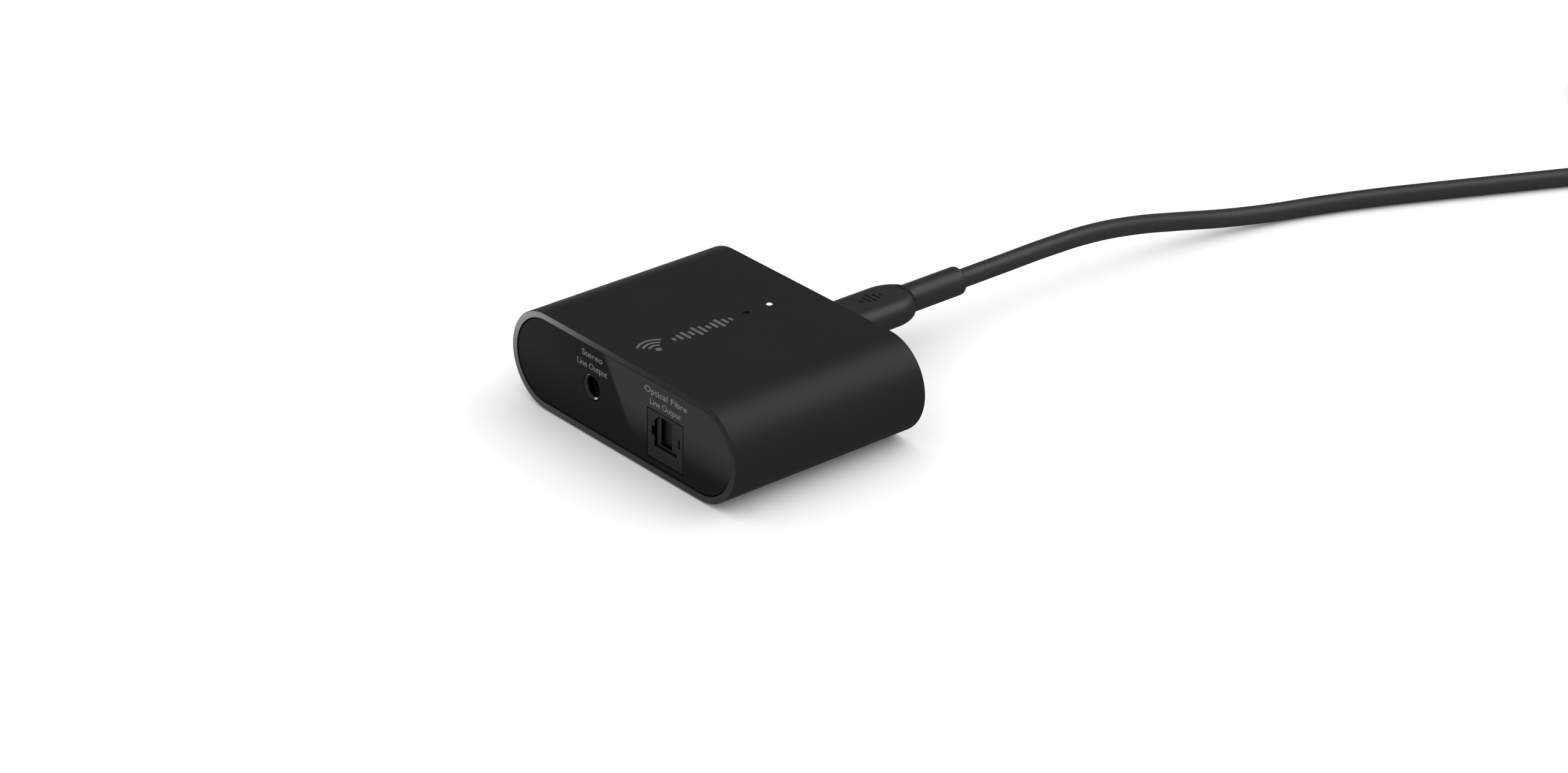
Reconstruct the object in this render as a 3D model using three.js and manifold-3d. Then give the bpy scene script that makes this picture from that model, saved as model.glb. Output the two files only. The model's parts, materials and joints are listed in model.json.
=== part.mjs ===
// Wireless audio receiver with its USB power lead.
// Millimetres, +Z up. X is the width, the port panel faces -Y, the power lead leaves towards +Y.
// The origin is under the middle of the housing, on the plane that the rubber foot stands on.
import * as THREE from 'three';
import { mergeVertices } from 'three/addons/utils/BufferGeometryUtils.js';
import Module from 'manifold-3d';

const wasm = await Module();
wasm.setup();

// ---------------------------------------------------------------- driving dimensions
const W = 64.0;            // housing width
const D = 44.85;           // housing depth
const H = 19.65;           // housing height
const WALL = 1.35;         // sleeve wall
const FOOT = 0.3;          // how far the rubber foot stands proud of the sleeve
const RECESS = 0.2;        // end panels sit this far inside the sleeve's ends
const PANEL_T = 1.5;       // end panel thickness
const PANEL_GAP = 0.2;     // shadow gap round an end panel
const YF = -D / 2 + RECESS;        // outer face of the front panel
const YB = D / 2 - RECESS;         // outer face of the rear panel
const ZC = H / 2;

const LED = { x: 0.1, y: 12.3, hole: 1.5, pipe: 1.3 };
const RESET = { x: 0.1, y: 6.75, hole: 1.25 };

const JACK = { x: -8.58, z: 10.02, ring: 5.2, bore: 3.7, w: 6.3, h: 6.0, l: 11.6 };

const OPT = {              // square optical port
  x: 12.24, z: 7.68, w: 9.84, h: 9.53,
  ox0: 9.27, ox1: 15.57, oz0: 5.47, oz1: 11.92, chamfer: 1.25,
  nz0: 7.57, nz1: 9.42, notch: 0.8, depth: 9.5,
};
const DOOR = {             // spring shutter behind the mouth
  x0: 9.42, z0: 5.62, z1: 11.72, yf: YF + 0.5, t: 1.4,
  px0: 10.57, px1: 13.57, pz0: 6.02, pocket: 0.9,
  ax: 16.37, ay: YF + 1.4, pin: 0.4, bore: 0.52, barrel: 0.7,
};

const USB = { z: 10.12, w: 8.94, h: 3.16, wall: 0.22, y0: 14.3, y1: 21.9 };
const PLUG = { w: 8.25, h: 2.4, wall: 0.3, tip: 16.25, root: 22.75 };
const MOULD = { w: 11.25, h: 5.72, y0: 23.0, y1: 41.1, seam: 45.35, span: 5.2, tail: 5.4, round: 1.8, neckY: 47.1, neckD: 5.72 };
const RELIEF = { d: 5.71, y0: 45.55, y2: 47.7, y3: 59.3, end: 60.05, endD: 4.05 };
const CORD = { d: 3.8, rest: 1.95 };
const COIL = { x: 24.34, y: 265.48, rin: 12.3, rout: 30.5, z0: 0.8, z1: 8.55 };

const PCB = { z0: 9.3, z1: 10.3, x: 27, y0: -13.6, y1: 19.4 };
const POSTS = [[-21.3, -11.0], [21.3, -11.0], [-21.3, 16.0], [21.3, 16.0]];

// ---------------------------------------------------------------- finishes
const finish = (color, roughness, metalness = 0) => ({ color, roughness, metalness });
const F = {
  shell: finish(0x1b1b1c, 0.5),
  panel: finish(0x141415, 0.22),
  black: finish(0x18181a, 0.45),
  dark: finish(0x101012, 0.6),
  rubber: finish(0x1c1c1d, 0.85),
  lead: finish(0x1d1d1e, 0.6),
  steel: finish(0xb8babd, 0.28, 1),
  brass: finish(0xc79b4a, 0.35, 1),
  gold: finish(0xd2a95a, 0.3, 1),
  board: finish(0x0d3b26, 0.45),
  chip: finish(0x202124, 0.5),
  ceramic: finish(0xc9b79a, 0.6),
  led: finish(0xf4f6ff, 0.3),
  clear: finish(0xeef2f6, 0.15),
  nylon: finish(0x2a2b2d, 0.6),
  can: finish(0xc4c6c8, 0.35, 1),
};

const model = new THREE.Group();
const body = new THREE.Group();      // everything above the foot plane
body.position.z = FOOT;
model.add(body);

function add(name, geometry, f, parent = body) {
  const mesh = new THREE.Mesh(geometry, new THREE.MeshStandardMaterial({ ...f }));
  mesh.name = name;
  parent.add(mesh);
  return mesh;
}

// ---------------------------------------------------------------- solids
function solid(geometry) {
  const g = geometry.clone();
  g.deleteAttribute('normal');
  g.deleteAttribute('uv');
  const m = mergeVertices(g, 1e-4);
  const idx = m.index ? Array.from(m.index.array) : [...Array(m.attributes.position.count).keys()];
  const keep = [];
  for (let i = 0; i < idx.length; i += 3) {
    const [a, b, c] = [idx[i], idx[i + 1], idx[i + 2]];
    if (a !== b && b !== c && a !== c) keep.push(a, b, c);
  }
  return new wasm.Manifold(new wasm.Mesh({
    numProp: 3,
    vertProperties: new Float32Array(m.attributes.position.array),
    triVerts: new Uint32Array(keep),
  }));
}
function geo(man) {
  const m = man.getMesh();
  const g = new THREE.BufferGeometry();
  const pos = new Float32Array((m.vertProperties.length / m.numProp) * 3);
  for (let i = 0; i < pos.length / 3; i++)
    for (let k = 0; k < 3; k++) pos[i * 3 + k] = m.vertProperties[i * m.numProp + k];
  g.setAttribute('position', new THREE.BufferAttribute(pos, 3));
  g.setIndex(new THREE.BufferAttribute(new Uint32Array(m.triVerts), 1));
  g.computeVertexNormals();
  return g;
}
const box = (x0, x1, y0, y1, z0, z1) =>
  new THREE.BoxGeometry(x1 - x0, y1 - y0, z1 - z0).translate((x0 + x1) / 2, (y0 + y1) / 2, (z0 + z1) / 2);
const cylZ = (x, y, z0, z1, r, n = 24) =>
  new THREE.CylinderGeometry(r, r, z1 - z0, n).rotateX(Math.PI / 2).translate(x, y, (z0 + z1) / 2);
const cylY = (x, z, y0, y1, r, n = 24) =>
  new THREE.CylinderGeometry(r, r, y1 - y0, n).translate(x, (y0 + y1) / 2, z);
// section in X-Z pushed along Y from y0 to y1
const alongY = (shape, y0, y1, n = 12) =>
  new THREE.ExtrudeGeometry(shape, { depth: y1 - y0, bevelEnabled: false, curveSegments: n })
    .rotateX(Math.PI / 2).translate(0, y1, 0);
// section in Y-Z pushed along X
const alongX = (points, x0, x1) => {
  const s = new THREE.Shape(points.map(([y, z]) => new THREE.Vector2(y, z)));
  return new THREE.ExtrudeGeometry(s, { depth: x1 - x0, bevelEnabled: false })
    .rotateX(Math.PI / 2).rotateZ(Math.PI / 2).translate(x0, 0, 0);
};
// section in X-Y pushed along Z
const alongZ = (shape, z0, z1, n = 8) =>
  new THREE.ExtrudeGeometry(shape, { depth: z1 - z0, bevelEnabled: false, curveSegments: n }).translate(0, 0, z0);

// rounded bar with full half-round ends, or a round-cornered rectangle, centred on (cx, cz)
function barPoints(w, h, cx, cz, n = 12, r = h / 2) {
  const out = [];
  for (const [sx, sz, a0] of [[1, 1, 0], [-1, 1, 90], [-1, -1, 180], [1, -1, 270]])
    for (let k = 0; k <= n; k++) {
      const a = ((a0 + (90 * k) / n) * Math.PI) / 180;
      out.push(new THREE.Vector2(cx + sx * (w / 2 - r) + r * Math.cos(a), cz + sz * (h / 2 - r) + r * Math.sin(a)));
    }
  return out.filter((p, i) => i === 0 || p.distanceTo(out[i - 1]) > 1e-6).filter((p, i, l) => i < l.length - 1 || p.distanceTo(l[0]) > 1e-6);
}
const bar = (w, h, cx, cz, n, r) => new THREE.Shape(barPoints(w, h, cx, cz, n, r));
const poly = (points) => new THREE.Shape(points.map(([a, b]) => new THREE.Vector2(a, b)));

// skin through rings of equal length, closed by flat ends
function loft(rings) {
  const n = rings[0].length, pos = [], idx = [];
  for (const r of rings) for (const p of r) pos.push(p.x, p.y, p.z);
  for (let i = 0; i + 1 < rings.length; i++)
    for (let k = 0; k < n; k++) {
      const a = i * n + k, b = i * n + ((k + 1) % n), c = a + n, d = b + n;
      idx.push(a, b, c, b, d, c);
    }
  const last = (rings.length - 1) * n;
  for (let k = 1; k + 1 < n; k++) {
    idx.push(0, k + 1, k);
    idx.push(last, last + k, last + k + 1);
  }
  const g = new THREE.BufferGeometry();
  g.setAttribute('position', new THREE.Float32BufferAttribute(pos, 3));
  g.setIndex(idx);
  let v = 0;
  const A = new THREE.Vector3(), B = new THREE.Vector3(), C = new THREE.Vector3(), p = g.attributes.position;
  for (let i = 0; i < idx.length; i += 3) {
    A.fromBufferAttribute(p, idx[i]); B.fromBufferAttribute(p, idx[i + 1]); C.fromBufferAttribute(p, idx[i + 2]);
    v += A.dot(B.cross(C));
  }
  if (v < 0) for (let i = 0; i < idx.length; i += 3) { const t = idx[i + 1]; idx[i + 1] = idx[i + 2]; idx[i + 2] = t; }
  g.setIndex(idx);
  g.computeVertexNormals();
  return g;
}
// oval ring across Y: half-round bar w by h (a circle when w = h)
function ovalRing(w, h, y, cx, cz, n = 28) {
  const r = Math.min(w, h) / 2, out = [];
  for (let k = 0; k < n; k++) {
    const a = (2 * Math.PI * (k + 0.5)) / n;
    const s = Math.sign(Math.cos(a)) * Math.max((w - h) / 2, 0);
    out.push(new THREE.Vector3(cx + s + r * Math.cos(a), y, cz + (h / 2) * Math.sin(a)));
  }
  return out;
}

// ---------------------------------------------------------------- housing
{
  let s = solid(alongY((() => {
    const sh = bar(W, H, 0, ZC, 14);
    sh.holes.push(new THREE.Path(barPoints(W - 2 * WALL, H - 2 * WALL, 0, ZC, 14)));
    return sh;
  })(), -D / 2, D / 2));
  s = s.subtract(solid(cylZ(LED.x, LED.y, H - 3, H + 1, LED.hole / 2, 20)));
  s = s.subtract(solid(cylZ(RESET.x, RESET.y, H - 3, H + 1, RESET.hole / 2, 20)));
  s = s.subtract(solid(alongZ(bar(40.6, 36.6, 0, 0, 4, 4.3), -1, 0.5)));
  add('housing_sleeve', geo(s), F.shell);
}
add('rubber_foot_pad', alongZ(bar(40, 36, 0, 0, 4, 4), -FOOT, 0.3), F.rubber);

const pw = W - 2 * WALL - 2 * PANEL_GAP, ph = H - 2 * WALL - 2 * PANEL_GAP;
{
  let s = solid(alongY(bar(pw, ph, 0, ZC, 14), YF, YF + PANEL_T));
  for (const x of [-20, -2, 22]) {                      // snap tongues behind the panel
    s = s.add(solid(box(x - 2.5, x + 2.5, YF + PANEL_T - 0.2, YF + 5, H - WALL - 1.5, H - WALL - 0.35)));
    s = s.add(solid(box(x - 2.5, x + 2.5, YF + PANEL_T - 0.2, YF + 3.2, WALL + 0.3, WALL + 1.1)));
  }
  s = s.subtract(solid(cylY(JACK.x, JACK.z, YF - 1, YF + 4, JACK.ring / 2 + 0.15, 28)));
  s = s.subtract(solid(box(OPT.x - OPT.w / 2 - 0.15, OPT.x + OPT.w / 2 + 0.15, YF - 1, YF + 4, OPT.z - OPT.h / 2 - 0.15, OPT.z + OPT.h / 2 + 0.15)));
  add('front_panel', geo(s), F.panel);
}
{
  let s = solid(alongY(bar(pw, ph, 0, ZC, 14), YB - PANEL_T, YB));
  for (const x of [-20, 20]) {
    s = s.add(solid(box(x - 2.5, x + 2.5, YB - 5, YB - PANEL_T + 0.2, H - WALL - 1.5, H - WALL - 0.35)));
    s = s.add(solid(box(x - 2.0, x + 2.0, YB - 2.4, YB - PANEL_T + 0.2, WALL + 0.3, WALL + 1.1)));
  }
  s = s.subtract(solid(alongY(bar(USB.w + 0.5, USB.h + 0.5, 0, USB.z, 8), YB - 4, YB + 1)));
  add('rear_panel', geo(s), F.panel);
}
{
  let s = solid(box(-23.6, 23.6, -13.6, 19.2, 1.6, 2.5));
  for (const [x, y] of POSTS) s = s.add(solid(cylZ(x, y, 2.2, PCB.z0 - 0.2, 2.2, 20)));
  for (const x of [-10, 10]) s = s.add(solid(box(x - 0.6, x + 0.6, -6, 12, 2.3, 5.0)));
  for (const [x, y] of POSTS) s = s.subtract(solid(cylZ(x, y, 3.0, PCB.z0 + 1, 0.95, 14)));
  add('inner_tray', geo(s), F.nylon);
}

// ---------------------------------------------------------------- main board
{
  let s = solid(box(-PCB.x, PCB.x, PCB.y0, PCB.y1, PCB.z0, PCB.z1));
  s = s.subtract(solid(box(JACK.x - 3.35, JACK.x + 3.35, -20, -8.2, 5, 15)));
  s = s.subtract(solid(box(7.0, 18.1, -20, -8.0, 5, 15)));
  s = s.subtract(solid(box(-4.75, 4.75, 14.0, 25, 5, 15)));
  for (const [x, y] of POSTS) s = s.subtract(solid(cylZ(x, y, 5, 15, 1.2, 16)));
  for (const sx of [-1, 1]) s = s.subtract(solid(box(sx * 27 - 1.2, sx * 27 + 1.2, 4, 8, 5, 15)));
  add('main_board', geo(s), F.board);
}
POSTS.forEach(([x, y], i) => {
  const z = PCB.z1 + 0.12;
  const pts = [[0, 3.6], [0.55, 3.6], [0.75, 4.2], [0.75, z], [1.8, z], [1.8, z + 0.8], [1.35, z + 1.25], [0.0, z + 1.3]];
  let s = solid(new THREE.LatheGeometry(pts.map(([r, h]) => new THREE.Vector2(r, h)), 18).rotateX(Math.PI / 2).translate(x, y, 0));
  for (const a of [0, Math.PI / 2])
    s = s.subtract(solid(new THREE.BoxGeometry(2.0, 0.45, 1.0).rotateZ(a + 0.4).translate(x, y, z + 1.4)));
  add(`board_screw_${i + 1}`, geo(s), F.steel);
});

// ---------------------------------------------------------------- headphone-size line output
{
  const y0 = YF + PANEL_T + 0.25, y1 = y0 + JACK.l;
  let s = solid(box(JACK.x - JACK.w / 2, JACK.x + JACK.w / 2, y0, y1, JACK.z - JACK.h / 2, JACK.z + JACK.h / 2));
  s = s.subtract(solid(cylY(JACK.x, JACK.z, y0 - 1, y1 - 0.8, JACK.bore / 2, 24)));
  for (const y of [y0 + 1.0, y0 + 5.4, y0 + 9.0])
    s = s.subtract(solid(box(JACK.x - 0.6, JACK.x + 0.6, y - 0.6, y + 0.6, JACK.z + 1, JACK.z + 5)));
  add('audio_jack_body', geo(s), F.black);
  const names = ['audio_jack_ground_contact', 'audio_jack_ring_contact', 'audio_jack_tip_contact'];
  [y0 + 1.0, y0 + 5.4, y0 + 9.0].forEach((y, i) => {
    const x = JACK.x, t = 0.25, zt = JACK.z + JACK.h / 2 + 0.15, xr = JACK.x + JACK.w / 2 + 0.2, zl = JACK.z + 0.95;
    add(names[i], alongY(poly([
      [x - 0.3, zl + 0.3], [x, zl], [x + 0.3, zl + 0.3], [x + 0.3, zt], [xr, zt], [xr, PCB.z1 + 0.12],
      [xr + t, PCB.z1 + 0.12], [xr + t, zt + t], [x - 0.3, zt + t]]), y - 0.35, y + 0.35), F.gold);
  });
  // plated bush with a wide countersink, through the panel
  const y = YF - 0.02, b = JACK.bore / 2, R = JACK.ring / 2;
  const pts = [[b, PANEL_T + 0.1], [b, 0.75], [b + 0.4, 0.1], [b + 0.5, 0], [R - 0.08, 0], [R, 0.08], [R, PANEL_T + 0.1], [b, PANEL_T + 0.1]];
  add('audio_jack_bush', new THREE.LatheGeometry(pts.map(([r, h]) => new THREE.Vector2(r, h)), 32).translate(JACK.x, y, JACK.z), F.steel);
}

// ---------------------------------------------------------------- optical output
{
  const x0 = OPT.x - OPT.w / 2, x1 = OPT.x + OPT.w / 2, z0 = OPT.z - OPT.h / 2, z1 = OPT.z + OPT.h / 2;
  const shoulder = YF + 1.7, back = YF + 12.4;
  let s = solid(box(x0, x1, YF, shoulder + 0.1, z0, z1));
  s = s.add(solid(box(x0, 17.82, shoulder, back, z0, z1)));
  const c = OPT.chamfer;
  // mouth outline with keyed upper corners and side notches
  s = s.subtract(solid(alongY(poly([
    [OPT.ox0, OPT.oz0], [OPT.ox1, OPT.oz0], [OPT.ox1, OPT.nz0], [OPT.ox1 + OPT.notch, OPT.nz0], [OPT.ox1 + OPT.notch, OPT.nz1],
    [OPT.ox1, OPT.nz1], [OPT.ox1, OPT.oz1 - c], [OPT.ox1 - c, OPT.oz1], [OPT.ox0 + c, OPT.oz1], [OPT.ox0, OPT.oz1 - c],
    [OPT.ox0, OPT.nz1], [OPT.ox0 - OPT.notch, OPT.nz1], [OPT.ox0 - OPT.notch, OPT.nz0], [OPT.ox0, OPT.nz0]]), YF - 1, YF + OPT.depth)));
  s = s.subtract(solid(box(OPT.ox0, 18.07, DOOR.yf - 0.05, shoulder - 0.05, OPT.oz0, OPT.oz1 - 0.05)));    // room for the shutter
  s = s.subtract(solid(box(OPT.ox0, 17.32, shoulder - 0.1, YF + 8.8, OPT.oz0, OPT.oz1 - 0.05)));          // side pocket it folds into
  s = s.subtract(solid(box(9.57, 15.27, YF + 9.0, back + 1, 5.72, 11.72)));                                   // seat of the light source
  s = s.subtract(solid(cylZ(DOOR.ax, DOOR.ay, z0 + 1.6, z1 + 1, DOOR.pin + 0.12, 16)));                   // pin hole, open at the top
  add('optical_port_housing', geo(s), F.black);

  let d = solid(box(DOOR.x0, DOOR.ax - 0.05, DOOR.yf, DOOR.yf + DOOR.t, DOOR.z0, DOOR.z1));
  d = d.add(solid(cylZ(DOOR.ax, DOOR.ay, DOOR.z0, DOOR.z1, DOOR.barrel, 20)));
  d = d.subtract(solid(box(DOOR.px0, DOOR.px1, DOOR.yf - 1, DOOR.yf + DOOR.pocket, DOOR.pz0, DOOR.z1 + 1)));
  d = d.subtract(solid(box(DOOR.ax - 1.0, DOOR.ax + 2, DOOR.yf - 1, DOOR.yf + 3, 7.52, 9.52)));              // gap for the spring
  d = d.subtract(solid(cylZ(DOOR.ax, DOOR.ay, 0, 20, DOOR.bore, 16)));
  add('optical_port_shutter', geo(d), F.black);
  add('shutter_hinge_pin', cylZ(DOOR.ax, DOOR.ay, z0 + 1.8, z1 - 0.1, DOOR.pin, 12), F.steel);

  let w = solid(new THREE.LatheGeometry([[0.5, 7.67], [0.78, 7.67], [0.78, 9.37], [0.5, 9.37], [0.5, 7.67]].map(([r, h]) => new THREE.Vector2(r, h)), 18)
    .rotateX(Math.PI / 2).translate(DOOR.ax, DOOR.ay, 0));
  w = w.add(solid(box(DOOR.ax - 3.2, DOOR.ax, DOOR.ay + 0.62, DOOR.ay + 0.77, 9.12, 9.36)));
  w = w.add(solid(box(DOOR.ax + 0.52, DOOR.ax + 0.76, DOOR.ay, DOOR.ay + 3.4, 7.68, 7.92)));
  add('shutter_spring', geo(w), F.steel);

  add('optical_emitter', box(9.77, 15.07, YF + 9.2, YF + 12.2, 5.92, 11.52), F.dark);
  const lens = [[0, 0], [1.15, 0], [1.15, -0.8], [0.85, -1.15], [0.4, -1.3], [0, -1.33]].reverse();
  add('optical_emitter_lens', new THREE.LatheGeometry(lens.map(([r, h]) => new THREE.Vector2(r, h)), 20).translate(12.42, YF + 9.1, 8.72), F.clear);
  [-1.9, 0, 1.9].forEach((dx, i) => {
    const y = YF + 12.45, x = 12.42 + dx;
    add(`optical_emitter_pin_${i + 1}`, alongX([[y, 6.32], [y + 0.25, 6.32], [y + 0.25, PCB.z1 + 0.12], [y + 2.9, PCB.z1 + 0.12], [y + 2.9, PCB.z1 + 0.37], [y, PCB.z1 + 0.37]], x - 0.22, x + 0.22), F.gold);
  });
}

// ---------------------------------------------------------------- power inlet
{
  let s = solid(alongY(bar(USB.w, USB.h, 0, USB.z, 8), USB.y0, USB.y1));
  s = s.subtract(solid(alongY(bar(USB.w - 2 * USB.wall, USB.h - 2 * USB.wall, 0, USB.z, 8), USB.y0 - 1, USB.y1 + 1)));
  add('usb_inlet_shell', geo(s), F.steel);
  let t = solid(alongY(bar(USB.w - 2 * USB.wall - 0.2, USB.h - 2 * USB.wall - 0.2, 0, USB.z, 8), USB.y0 + 0.1, USB.y0 + 1.5));
  t = t.add(solid(box(-3.35, 3.35, USB.y0 + 1.3, USB.y0 + 6.7, USB.z - 0.35, USB.z + 0.35)));
  add('usb_inlet_tongue', geo(t), F.dark);
}

// ---------------------------------------------------------------- status light and reset button
add('status_led', box(LED.x - 0.8, LED.x + 0.8, LED.y - 0.4, LED.y + 0.4, PCB.z1 + 0.05, PCB.z1 + 0.65), F.led);
{
  const r = LED.pipe / 2, z = PCB.z1 + 0.9;
  const pts = [[0, z], [r, z], [r, 16.9], [1.5, 16.9], [1.5, 17.9], [r, 17.9], [r, H - 0.12], [r - 0.12, H - 0.03], [0, H - 0.03]];
  add('status_light_pipe', new THREE.LatheGeometry(pts.map(([a, b]) => new THREE.Vector2(a, b)), 20).rotateX(Math.PI / 2).translate(LED.x, LED.y, 0), F.clear);
}
{
  let s = solid(box(RESET.x - 1.75, RESET.x + 1.75, RESET.y - 1.75, RESET.y + 1.75, PCB.z1 + 0.05, PCB.z1 + 1.7));
  s = s.subtract(solid(cylZ(RESET.x, RESET.y, PCB.z1 + 0.7, PCB.z1 + 3, 1.1, 18)));
  add('reset_switch_body', geo(s), F.can);
  const z = PCB.z1 + 1.1;
  const pts = [[0, z], [0.85, z], [0.85, 16.9], [1.1, 17.2], [1.1, 17.9], [0.5, 17.9], [0, 17.6]];
  add('reset_button', new THREE.LatheGeometry(pts.map(([a, b]) => new THREE.Vector2(a, b)), 20).rotateX(Math.PI / 2).translate(RESET.x, RESET.y, 0), F.dark);
}

// ---------------------------------------------------------------- parts on the board
{
  const z = PCB.z1 + 0.05;
  add('wireless_module_board', box(-25.5, -12.5, -6.5, 11.5, z, z + 0.8), F.board);
  let c = solid(box(-24.6, -13.4, -5.8, 6.6, z + 0.85, z + 2.85));
  c = c.subtract(solid(box(-24.4, -13.6, -5.6, 6.4, z, z + 2.65)));
  add('wireless_shield_can', geo(c), F.can);
  add('wireless_chip', box(-22, -16, -3, 3, z + 0.85, z + 1.75), F.chip);
  add('chip_antenna', box(-21.5, -16.5, 8.3, 10.3, z + 0.85, z + 1.9), F.ceramic);
  add('audio_processor', box(6, 13, 2.0, 9.0, z, z + 0.95), F.chip);
  add('audio_converter', box(-9.5, -4.0, -5.5, 0.5, z, z + 1.1), F.chip);
  add('program_memory', box(15.5, 20.5, -1.5, 2.5, z, z + 0.9), F.chip);
  add('clock_crystal', alongZ(bar(3.2, 2.5, 17.5, 6.8, 3, 0.5), z, z + 0.75), F.can);
  add('power_regulator', box(7.0, 10.0, 12.2, 14.0, z, z + 1.1), F.chip);
  add('power_inductor', alongZ(bar(4, 4, 14.0, 14.0, 3, 0.8), z, z + 2.1), F.dark);
  [[-2.2, -8.5], [2.4, -8.5], [-8.0, 9.5]].forEach(([x, y], i) => {
    const pts = [[0, z], [2.0, z], [2.0, z + 1.0], [1.86, z + 1.2], [2.0, z + 1.4], [2.0, z + 5.2], [1.8, z + 5.4], [0, z + 5.4]];
    add(`filter_capacitor_${i + 1}`, new THREE.LatheGeometry(pts.map(([a, b]) => new THREE.Vector2(a, b)), 20).rotateX(Math.PI / 2).translate(x, y, 0), F.can);
  });
}

// ---------------------------------------------------------------- power lead: plug at the receiver
const lead = new THREE.Group();
lead.position.z = 0;
body.add(lead);
{
  let s = solid(alongY(bar(PLUG.w, PLUG.h, 0, USB.z, 8), PLUG.tip, PLUG.root));
  s = s.subtract(solid(alongY(bar(PLUG.w - 2 * PLUG.wall, PLUG.h - 2 * PLUG.wall, 0, USB.z, 8), PLUG.tip - 1, PLUG.tip + 5.3)));
  add('lead_plug_shell', geo(s), F.steel, lead);

  // flat-oval grip: full section, then rounded shoulders down to the seam
  const rings = [];
  const k = (t) => Math.pow(Math.max(0, 1 - Math.pow(t, MOULD.round)), 1 / MOULD.round);
  rings.push(ovalRing(MOULD.w - 0.5, MOULD.h - 0.5, MOULD.y0, 0, USB.z));
  rings.push(ovalRing(MOULD.w, MOULD.h, MOULD.y0 + 0.35, 0, USB.z));
  for (const y of [30, 36]) rings.push(ovalRing(MOULD.w, MOULD.h, y, 0, USB.z));
  const wAt = (y) => MOULD.tail + (MOULD.w - MOULD.tail) * k((y - MOULD.y1) / MOULD.span);
  for (let i = 0; i <= 8; i++) {
    const y = MOULD.y1 + ((MOULD.seam - MOULD.y1) * i) / 8;
    rings.push(ovalRing(wAt(y), MOULD.h, y, 0, USB.z));
  }
  add('lead_plug_grip', loft(rings), F.lead, lead);

  const sr = [];
  for (let i = 0; i <= 5; i++) {
    const y = RELIEF.y0 + ((MOULD.neckY - RELIEF.y0) * i) / 5, t = i / 5;
    const h = MOULD.h + (MOULD.neckD - MOULD.h) * t * t * (3 - 2 * t);
    sr.push(ovalRing(Math.max(h, wAt(y)), h, y, 0, USB.z, 24));
  }
  for (let i = 1; i <= 3; i++) {
    const t = i / 3, y = MOULD.neckY + (RELIEF.y2 - MOULD.neckY) * t, d = MOULD.neckD + (RELIEF.d - MOULD.neckD) * t * t * (3 - 2 * t);
    sr.push(ovalRing(d, d, y, 0, USB.z, 24));
  }
  sr.push(ovalRing(RELIEF.d, RELIEF.d, RELIEF.y3, 0, USB.z, 24));
  for (let i = 1; i <= 3; i++) {
    const a = (Math.PI / 2) * (i / 3);
    const d = RELIEF.endD + (RELIEF.d - RELIEF.endD) * Math.cos(a), y = RELIEF.y3 + (RELIEF.end - RELIEF.y3) * Math.sin(a);
    sr.push(ovalRing(d, d, y, 0, USB.z, 24));
  }
  add('lead_strain_relief', loft(sr), F.lead, lead);
}

// ---------------------------------------------------------------- power lead: cord, in the ground frame
const smooth = (t) => { t = Math.min(1, Math.max(0, t)); return t * t * t * (t * (6 * t - 15) + 10); };
const CORD_Z = USB.z + FOOT;         // height of the cord where it leaves the strain relief
function cordRoute(s) {              // plan position and height after s mm from the strain relief
  const step = 0.5;
  let x = 0, y = RELIEF.end, q = 0;
  while (q < s - 1e-9) {
    const h = Math.min(step, s - q), m = q + h / 2;
    const a = (25 * Math.PI / 180) * smooth((m - 30) / 100);
    x += h * Math.sin(a); y += h * Math.cos(a); q += h;
  }
  return new THREE.Vector3(x, y, CORD_Z + (CORD.rest - CORD_Z) * smooth((s - 20) / 75));
}
const APPROACH = 203;                // run from the strain relief to the coil's first turn
{
  const pts = [];
  for (let s = 0.3; s <= APPROACH - 4; s += 6) pts.push(cordRoute(s));
  const last = cordRoute(APPROACH - 2);
  pts.push(last);
  const curve = new THREE.CatmullRomCurve3(pts, false, 'centripetal');
  const section = new THREE.Shape();
  const r = CORD.d / 2;
  for (let k = 0; k < 8; k++) {
    const a = (2 * Math.PI * (k + 0.5)) / 8;
    if (k) section.lineTo(r * Math.cos(a), r * Math.sin(a)); else section.moveTo(r * Math.cos(a), r * Math.sin(a));
  }
  section.closePath();
  let tube = solid(new THREE.ExtrudeGeometry(section, { steps: 22, bevelEnabled: false, extrudePath: curve }));
  tube = tube.subtract(solid(cylZ(COIL.x, COIL.y, -5, 20, COIL.rout + CORD.d / 2 + 0.5, 72)));
  add('power_cord', geo(tube), F.lead, model);
}
{
  const ri = COIL.rin - CORD.d / 2 - 0.2, ro = COIL.rout + CORD.d / 2 + 0.2, c = 1.2;
  const pts = [[ri, COIL.z0 + c], [ri + c, COIL.z0], [ro - c, COIL.z0], [ro, COIL.z0 + c], [ro, COIL.z1 - c], [ro - c, COIL.z1], [ri + c, COIL.z1], [ri, COIL.z1 - c], [ri, COIL.z0 + c]];
  add('power_cord_coil', new THREE.LatheGeometry(pts.map(([a, b]) => new THREE.Vector2(a, b)), 40).rotateX(Math.PI / 2).translate(COIL.x, COIL.y, 0), F.lead, model);
  const t = 0.5, g = 0.3;
  const xa = COIL.x - ro - g, xb = COIL.x - Math.sqrt(ri * ri - 16) + g;
  let tie = solid(box(xa - t, xb + t, COIL.y - 4, COIL.y + 4, COIL.z0 - g - t, COIL.z1 + g + t));
  tie = tie.subtract(solid(box(xa, xb, COIL.y - 5, COIL.y + 5, COIL.z0 - g, COIL.z1 + g)));
  add('cord_tie', geo(tie), F.rubber, model);
}
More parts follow.
